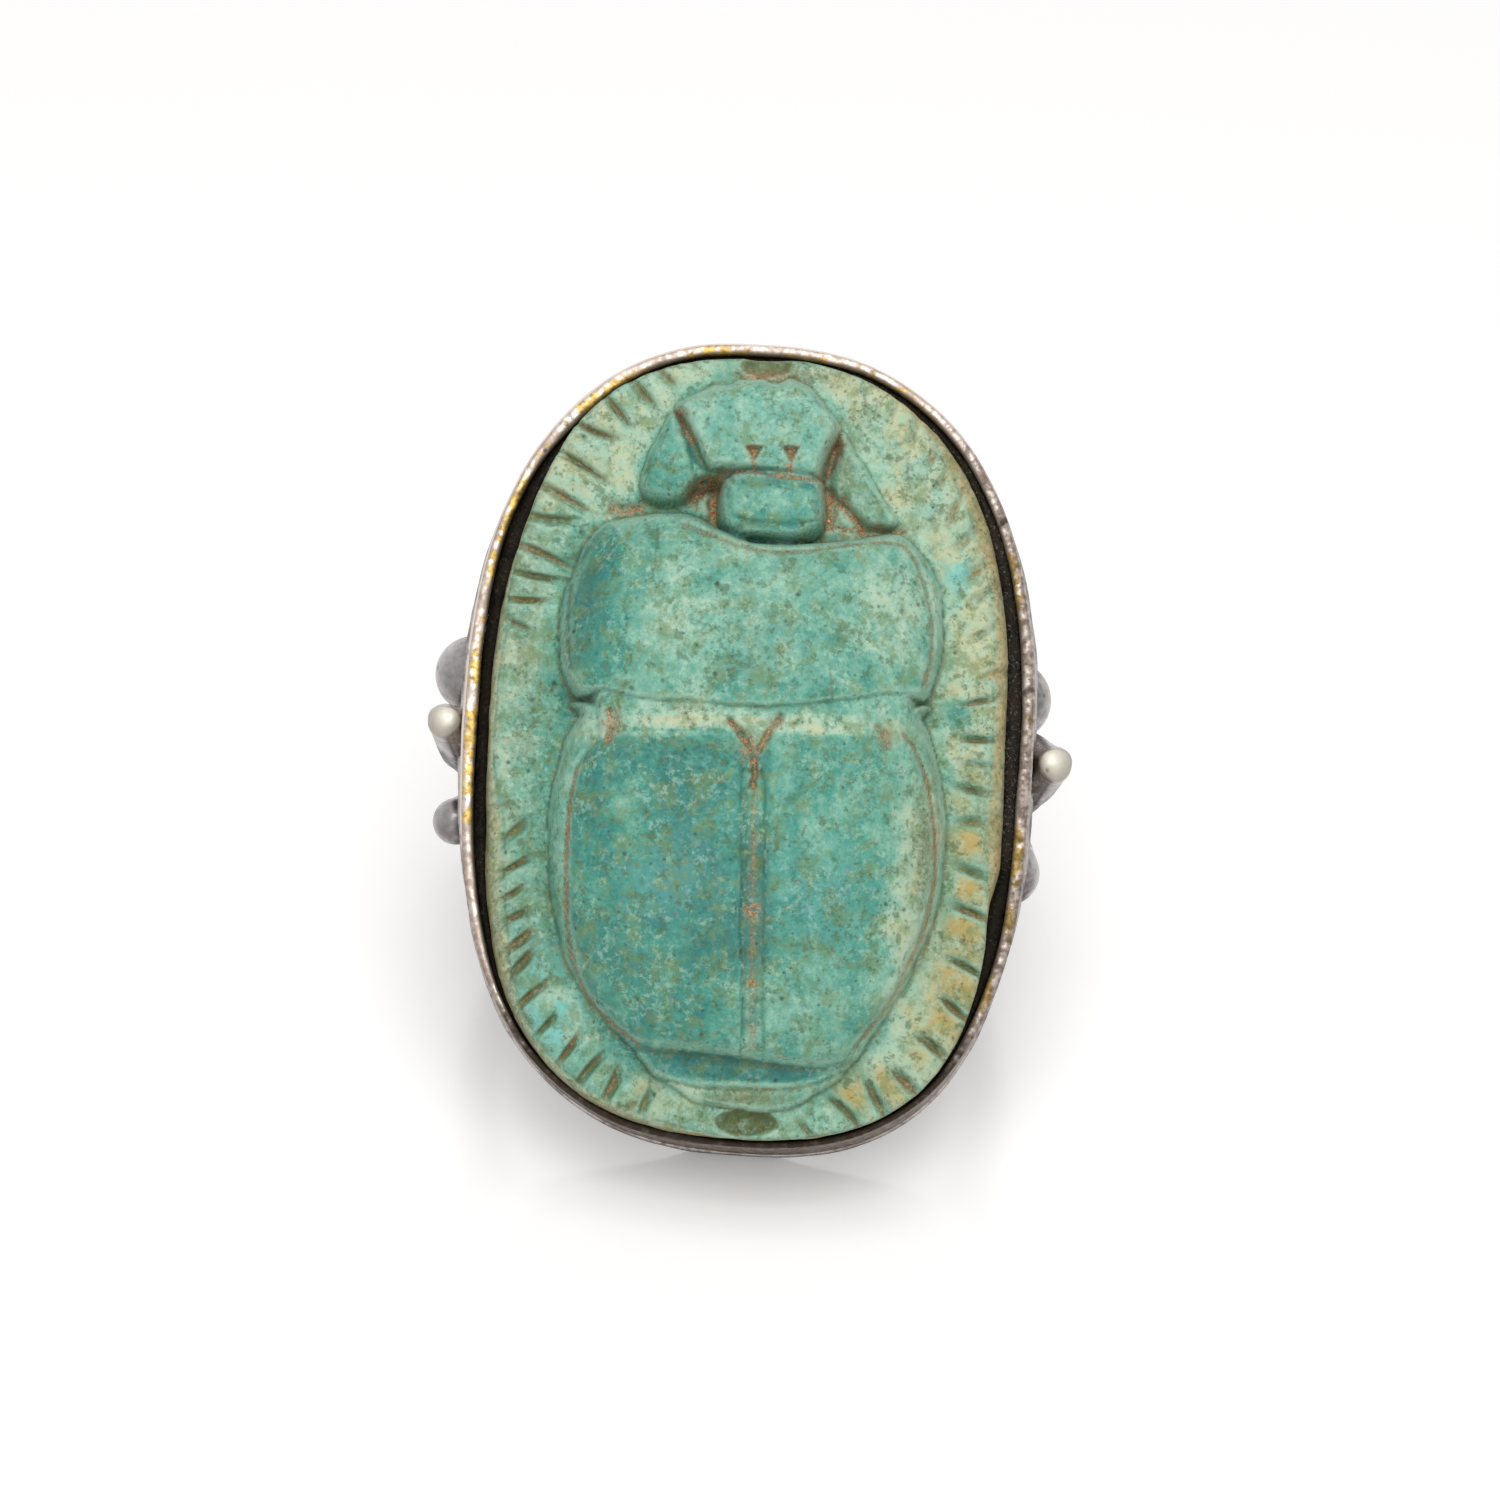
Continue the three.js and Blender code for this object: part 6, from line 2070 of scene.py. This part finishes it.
@dataclass
class Ornament:
    """One shoulder's bud between its two petals."""

    ring: RingFrame
    bezel: Bezel
    shank: Shank
    side: int
    name: str
    bud: Bud
    upper: Petal
    lower: Petal
    root_below_plate: float = 2.3
    root_inset: float = 0.55
    root_half_depth: float = 0.95
    tip_half_depth: float = 0.62
    calyx_share: float = 0.3
    foot_radius: float = 0.3
    foot_place: float = 1.5
    foot_above_seam: float = 0.3
    sides: int = 72

    def _clear_of_box(self, points: np.ndarray) -> np.ndarray:
        """Presses what would enter the box flat against its wall.

        Args:
            points: Points of the right shoulder's ornament.

        Returns:
            The points, of which those beside the box lie outside its wall.
        """
        pressed = points.copy()
        beside = pressed[..., 2] > self.bezel.plate_underside
        outline = self.bezel.outline(self.bezel.plate_top, -0.25)
        y = np.clip(np.abs(pressed[..., 1]) / outline.half_length, 0, 1)
        power = np.where(pressed[..., 1] > 0, outline.head_power, outline.tail_power)
        wall = outline.half_width * (1 - y**power) ** (1 / power)
        pressed[..., 0] = np.where(beside, np.maximum(pressed[..., 0], wall), pressed[..., 0])
        return pressed

    def horn(self) -> Skin:
        """The bud: ellipses along a bent spine, round at its root and worn flat at its tip.

        The spine is a quadratic curve that leaves the shoulder, passes the box and turns up.
        """
        sizes = self.bud
        edge = self.bezel.outline(self.bezel.plate_underside).half_width
        tip_height = self.bezel.rim_height - sizes.below_rim
        tip_x = self.bezel.outline(tip_height).half_width + sizes.reach - self.tip_half_depth
        root_height = self.bezel.plate_underside - self.root_below_plate
        a = np.array((edge - self.root_inset, sizes.root_place, root_height))
        b = np.array(((edge + tip_x) / 2, sizes.place, self.bezel.plate_top))
        c = np.array((tip_x, sizes.place, tip_height))
        t = np.linspace(0, 1, 60)[:, None]
        spine = a * (1 - t) ** 2 + 2 * b * t * (1 - t) + c * t**2
        along = 2 * (1 - t) * (b - a) + 2 * t * (c - b)
        across = np.array((0.0, 1.0, 0.0))
        out = np.cross(across, along)
        out /= np.linalg.norm(out, axis=1)[:, None]
        opened = np.clip((t + 0.03) / self.calyx_share, 0, 1)
        calyx = np.sqrt(1 - (1 - opened) ** 2)
        tip = 1 - 0.22 * np.clip((t - 0.93) / 0.07, 0, 1) ** 2
        half_width = tip * calyx * hermite(sizes.half_width, 0, sizes.tip_half_width, 0, t)
        half_depth = tip * calyx * hermite(self.root_half_depth, 0, self.tip_half_depth, 0, t)
        angle = around(self.sides)
        facets = 1 - 0.05 * np.cos(6 * angle) * ease(1.2 - t) - 0.03 * np.cos(3 * angle + 1) * t
        rows = (
            spine[:, None]
            + out[:, None] * (half_depth * np.cos(angle) * facets)[..., None]
            + across * (half_width * np.sin(angle) * facets)[..., None]
        )
        rows = self._clear_of_box(rows)
        skin = loft(rows * (self.side, 1, 1))
        height = skin.points[:, 2]
        low = ease((self.bezel.plate_top + 0.9 - height) / 1.4)
        flat_tip = ease((np.arange(len(height)) / self.sides - 57.5) / 1.5)
        skin.values = {"hollow": 0.5 * low, "rubbed": flat_tip}
        return skin

    def drop(self, sizes: Petal) -> Skin:
        """A petal: a drop turned on its axis, narrow at the hoop and round under the plate.

        Its profile is two arcs joined by the line that touches both.

        Args:
            sizes: The petal's own sizes.

        Returns:
            The petal's skin.
        """
        edge = self.bezel.outline(self.bezel.plate_underside).half_width
        outer = self.shank.hole + self.shank.thickness
        head_height = self.bezel.plate_underside - sizes.below_plate
        head = np.array((edge + sizes.reach - sizes.radius, sizes.place, head_height))
        foot_x = math.sqrt(outer**2 - self.shank.seam_height**2)
        foot_height = self.shank.seam_height + self.foot_above_seam
        foot = np.array((foot_x, math.copysign(self.foot_place, sizes.place), foot_height))
        axis = head - foot
        length = float(np.linalg.norm(axis))
        flank = -math.asin((sizes.radius - self.foot_radius) / length)
        low = np.linspace(-0.49 * math.pi, flank, 12)
        high = np.linspace(flank, 0.49 * math.pi, 30)
        radius = [self.foot_radius * np.cos(low), sizes.radius * np.cos(high)]
        radius = np.concatenate(radius)[:, None]
        place = [self.foot_radius * np.sin(low), length + sizes.radius * np.sin(high)]
        place = np.concatenate(place)[:, None]
        turn = np.array(Vector((0, 0, 1)).rotation_difference(Vector(axis)).to_matrix())
        angle = around(self.sides)
        rows = [radius * np.cos(angle), radius * np.sin(angle), place + 0 * angle]
        rows = np.stack(rows, axis=-1) @ turn.T + foot
        skin = loft(self._clear_of_box(rows) * (self.side, 1, 1))
        # Painted shade: each petal darkens towards the box wall.
        wall = self.bezel.outline(self.bezel.plate_top).half_width
        inside = ease((wall + 0.5 - np.abs(skin.points[:, 0])) / 0.8)
        skin.values = {"hollow": 0.55 * inside}
        return skin

    def build(self, finishes: Finishes) -> None:
        """Makes and dresses the bud and its petals."""
        for shape, skin, node in (
            ("horn", self.horn(), "bud"),
            ("upper_drop", self.drop(self.upper), "upper_petal"),
            ("lower_drop", self.drop(self.lower), "lower_petal"),
        ):
            name, nodes = f"{self.name}_{shape}", (f"{self.name}_{node}",)
            make_piece(name, skin, self.ring, finishes.bright, nodes)


# The studio


@dataclass
class Studio:
    """A white table, soft light and the camera, at the photograph's angle."""

    ring: RingFrame
    aim_height: float = 13.0
    distance: float = 240.0
    field: float = 50.1
    elevation: float = math.radians(30.5)
    roll: float = math.radians(2.6)
    aim_right: float = 0.09
    aim_up: float = -0.037
    sensor: float = 36.0
    surround: float = 0.34
    floor_glow: float = 0.24
    floor_side: float = 0.8
    # name, side in metres, power in watts and place in metres of each lamp
    lamps: tuple[tuple[str, float, float, tuple[float, float, float]], ...] = (
        ("top_lamp", 0.22, 0.34, (0.01, -0.09, 0.38)),
        ("front_lamp", 0.2, 0.82, (0.005, -0.26, 0.31)),
    )

    def camera(self) -> None:
        """Places the camera: it looks at the middle of the bezel's rim, rolled a little."""
        data = bpy.data.cameras.new("camera")
        data.sensor_width = self.sensor
        data.lens = self.sensor * self.distance / self.field
        data.clip_start = 0.01
        camera = bpy.data.objects.new("camera", data)
        target = Vector(self.ring.world(np.array((0.0, 0.0, self.aim_height))))
        back = Vector((0, -math.cos(self.elevation), math.sin(self.elevation)))
        right = Vector((1, 0, 0))
        up = back.cross(right)
        turned_right = right * math.cos(self.roll) + up * math.sin(self.roll)
        turned_up = up * math.cos(self.roll) - right * math.sin(self.roll)
        target += MM * (self.aim_right * turned_right + self.aim_up * turned_up)
        axes = Matrix((turned_right, turned_up, back)).transposed()
        camera.matrix_world = Matrix.Translation(target + MM * self.distance * back) @ axes.to_4x4()
        bpy.context.scene.collection.objects.link(camera)
        bpy.context.scene.camera = camera

    def world(self) -> None:
        """An even pale surround: white to the camera and in reflections."""
        world = bpy.data.worlds.new("surround")
        bpy.context.scene.world = world
        world.use_nodes = True
        world.node_tree.nodes.clear()
        web = Web(world.node_tree)
        path = web.add("ShaderNodeLightPath").outputs
        seen = web.most(path["Is Camera Ray"], path["Is Transmission Ray"])
        strength = web.step(seen, 0.0, 1.0, self.surround, 1.0)
        glossy = web.times(path["Is Glossy Ray"], 1 - self.surround)
        settings = {"Color": (1, 1, 1), "Strength": web.plus(strength, glossy)}
        background = web.add("ShaderNodeBackground", settings)
        web.add("ShaderNodeOutputWorld", {"Surface": background.outputs[0]})

    def lamp(self, name: str, size: float, power: float, place: Vector) -> None:
        """A soft square lamp that faces the ring.

        Args:
            name: Its name.
            size: Its side, in metres.
            power: Its power, in watts.
            place: Where it is, in metres.
        """
        data = bpy.data.lights.new(name, "AREA")
        data.size = size
        data.energy = power
        lamp = bpy.data.objects.new(name, data)
        lamp.rotation_mode = "QUATERNION"
        lamp.rotation_quaternion = (place - Vector((0, 0, 0.012))).to_track_quat("Z", "Y")
        lamp.location = place
        bpy.context.scene.collection.objects.link(lamp)

    def floor(self) -> None:
        """A white, slightly glossy table."""
        side = self.floor_side
        corners = [(-side, -side, 0), (side, -side, 0), (side, side, 0), (-side, side, 0)]
        mesh = bpy.data.meshes.new("table_top")
        mesh.from_pydata(corners, [], [(0, 1, 2, 3)])
        material = bpy.data.materials.new("white_table")
        material.use_nodes = True
        material.node_tree.nodes.clear()
        web = Web(material.node_tree)
        gloss = {"Base Color": (0.95, 0.94, 0.93), "Roughness": 0.16, "Specular IOR Level": 0.7}
        shader = web.add("ShaderNodeBsdfPrincipled", gloss)
        seen = web.add("ShaderNodeLightPath").outputs["Is Camera Ray"]
        glow = web.times(seen, self.floor_glow)
        light = web.add("ShaderNodeEmission", {"Color": (1, 1, 1), "Strength": glow})
        both = web.add("ShaderNodeAddShader", {0: shader.outputs[0], 1: light.outputs[0]})
        web.add("ShaderNodeOutputMaterial", {"Surface": both.outputs[0]})
        mesh.materials.append(material)
        table = bpy.data.objects.new("table_top", mesh)
        bpy.context.scene.collection.objects.link(table)

    def build(self) -> None:
        """Sets up the view transform, camera, light and table."""
        bpy.context.scene.view_settings.view_transform = "Standard"
        self.camera()
        self.world()
        for name, size, power, place in self.lamps:
            self.lamp(name, size, power, Vector(place))
        self.floor()


def main() -> None:
    """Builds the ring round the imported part, and the studio round the ring."""
    logging.basicConfig(level=logging.INFO, format="%(name)s: %(message)s")
    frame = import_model()
    ring = RingFrame.from_record(frame["record"], seat_place=-7.0, seat_height=7.8)
    lean = math.atan2(-ring.out[1], ring.out[2])
    Studio(ring).build()
    finishes = Finishes(lean)
    bezel = Bezel(ring)
    stone = Scarab(ring, bezel)
    shank = Shank(ring, bezel)
    stone.build(finishes)
    bezel.build(finishes, stone)
    shank.build(finishes)
    Ornament(
        ring, bezel, shank, -1, "left",
        bud=Bud(0.6, -0.1, 1.15, 0.6, 1.2, 1.5),
        upper=Petal(2.6, 1.32, 0.97, 1.4),
        lower=Petal(-2.5, 0.8, 0.8, 1.0),
    ).build(finishes)
    Ornament(
        ring, bezel, shank, 1, "right",
        bud=Bud(0.1, 0.0, 1.5, 0.62, 1.35, 2.0),
        upper=Petal(2.55, 1.4, 0.5, 1.5),
        lower=Petal(-3.4, 1.1, 0.35, 1.3),
    ).build(finishes)


if __name__ == "__main__":
    main()
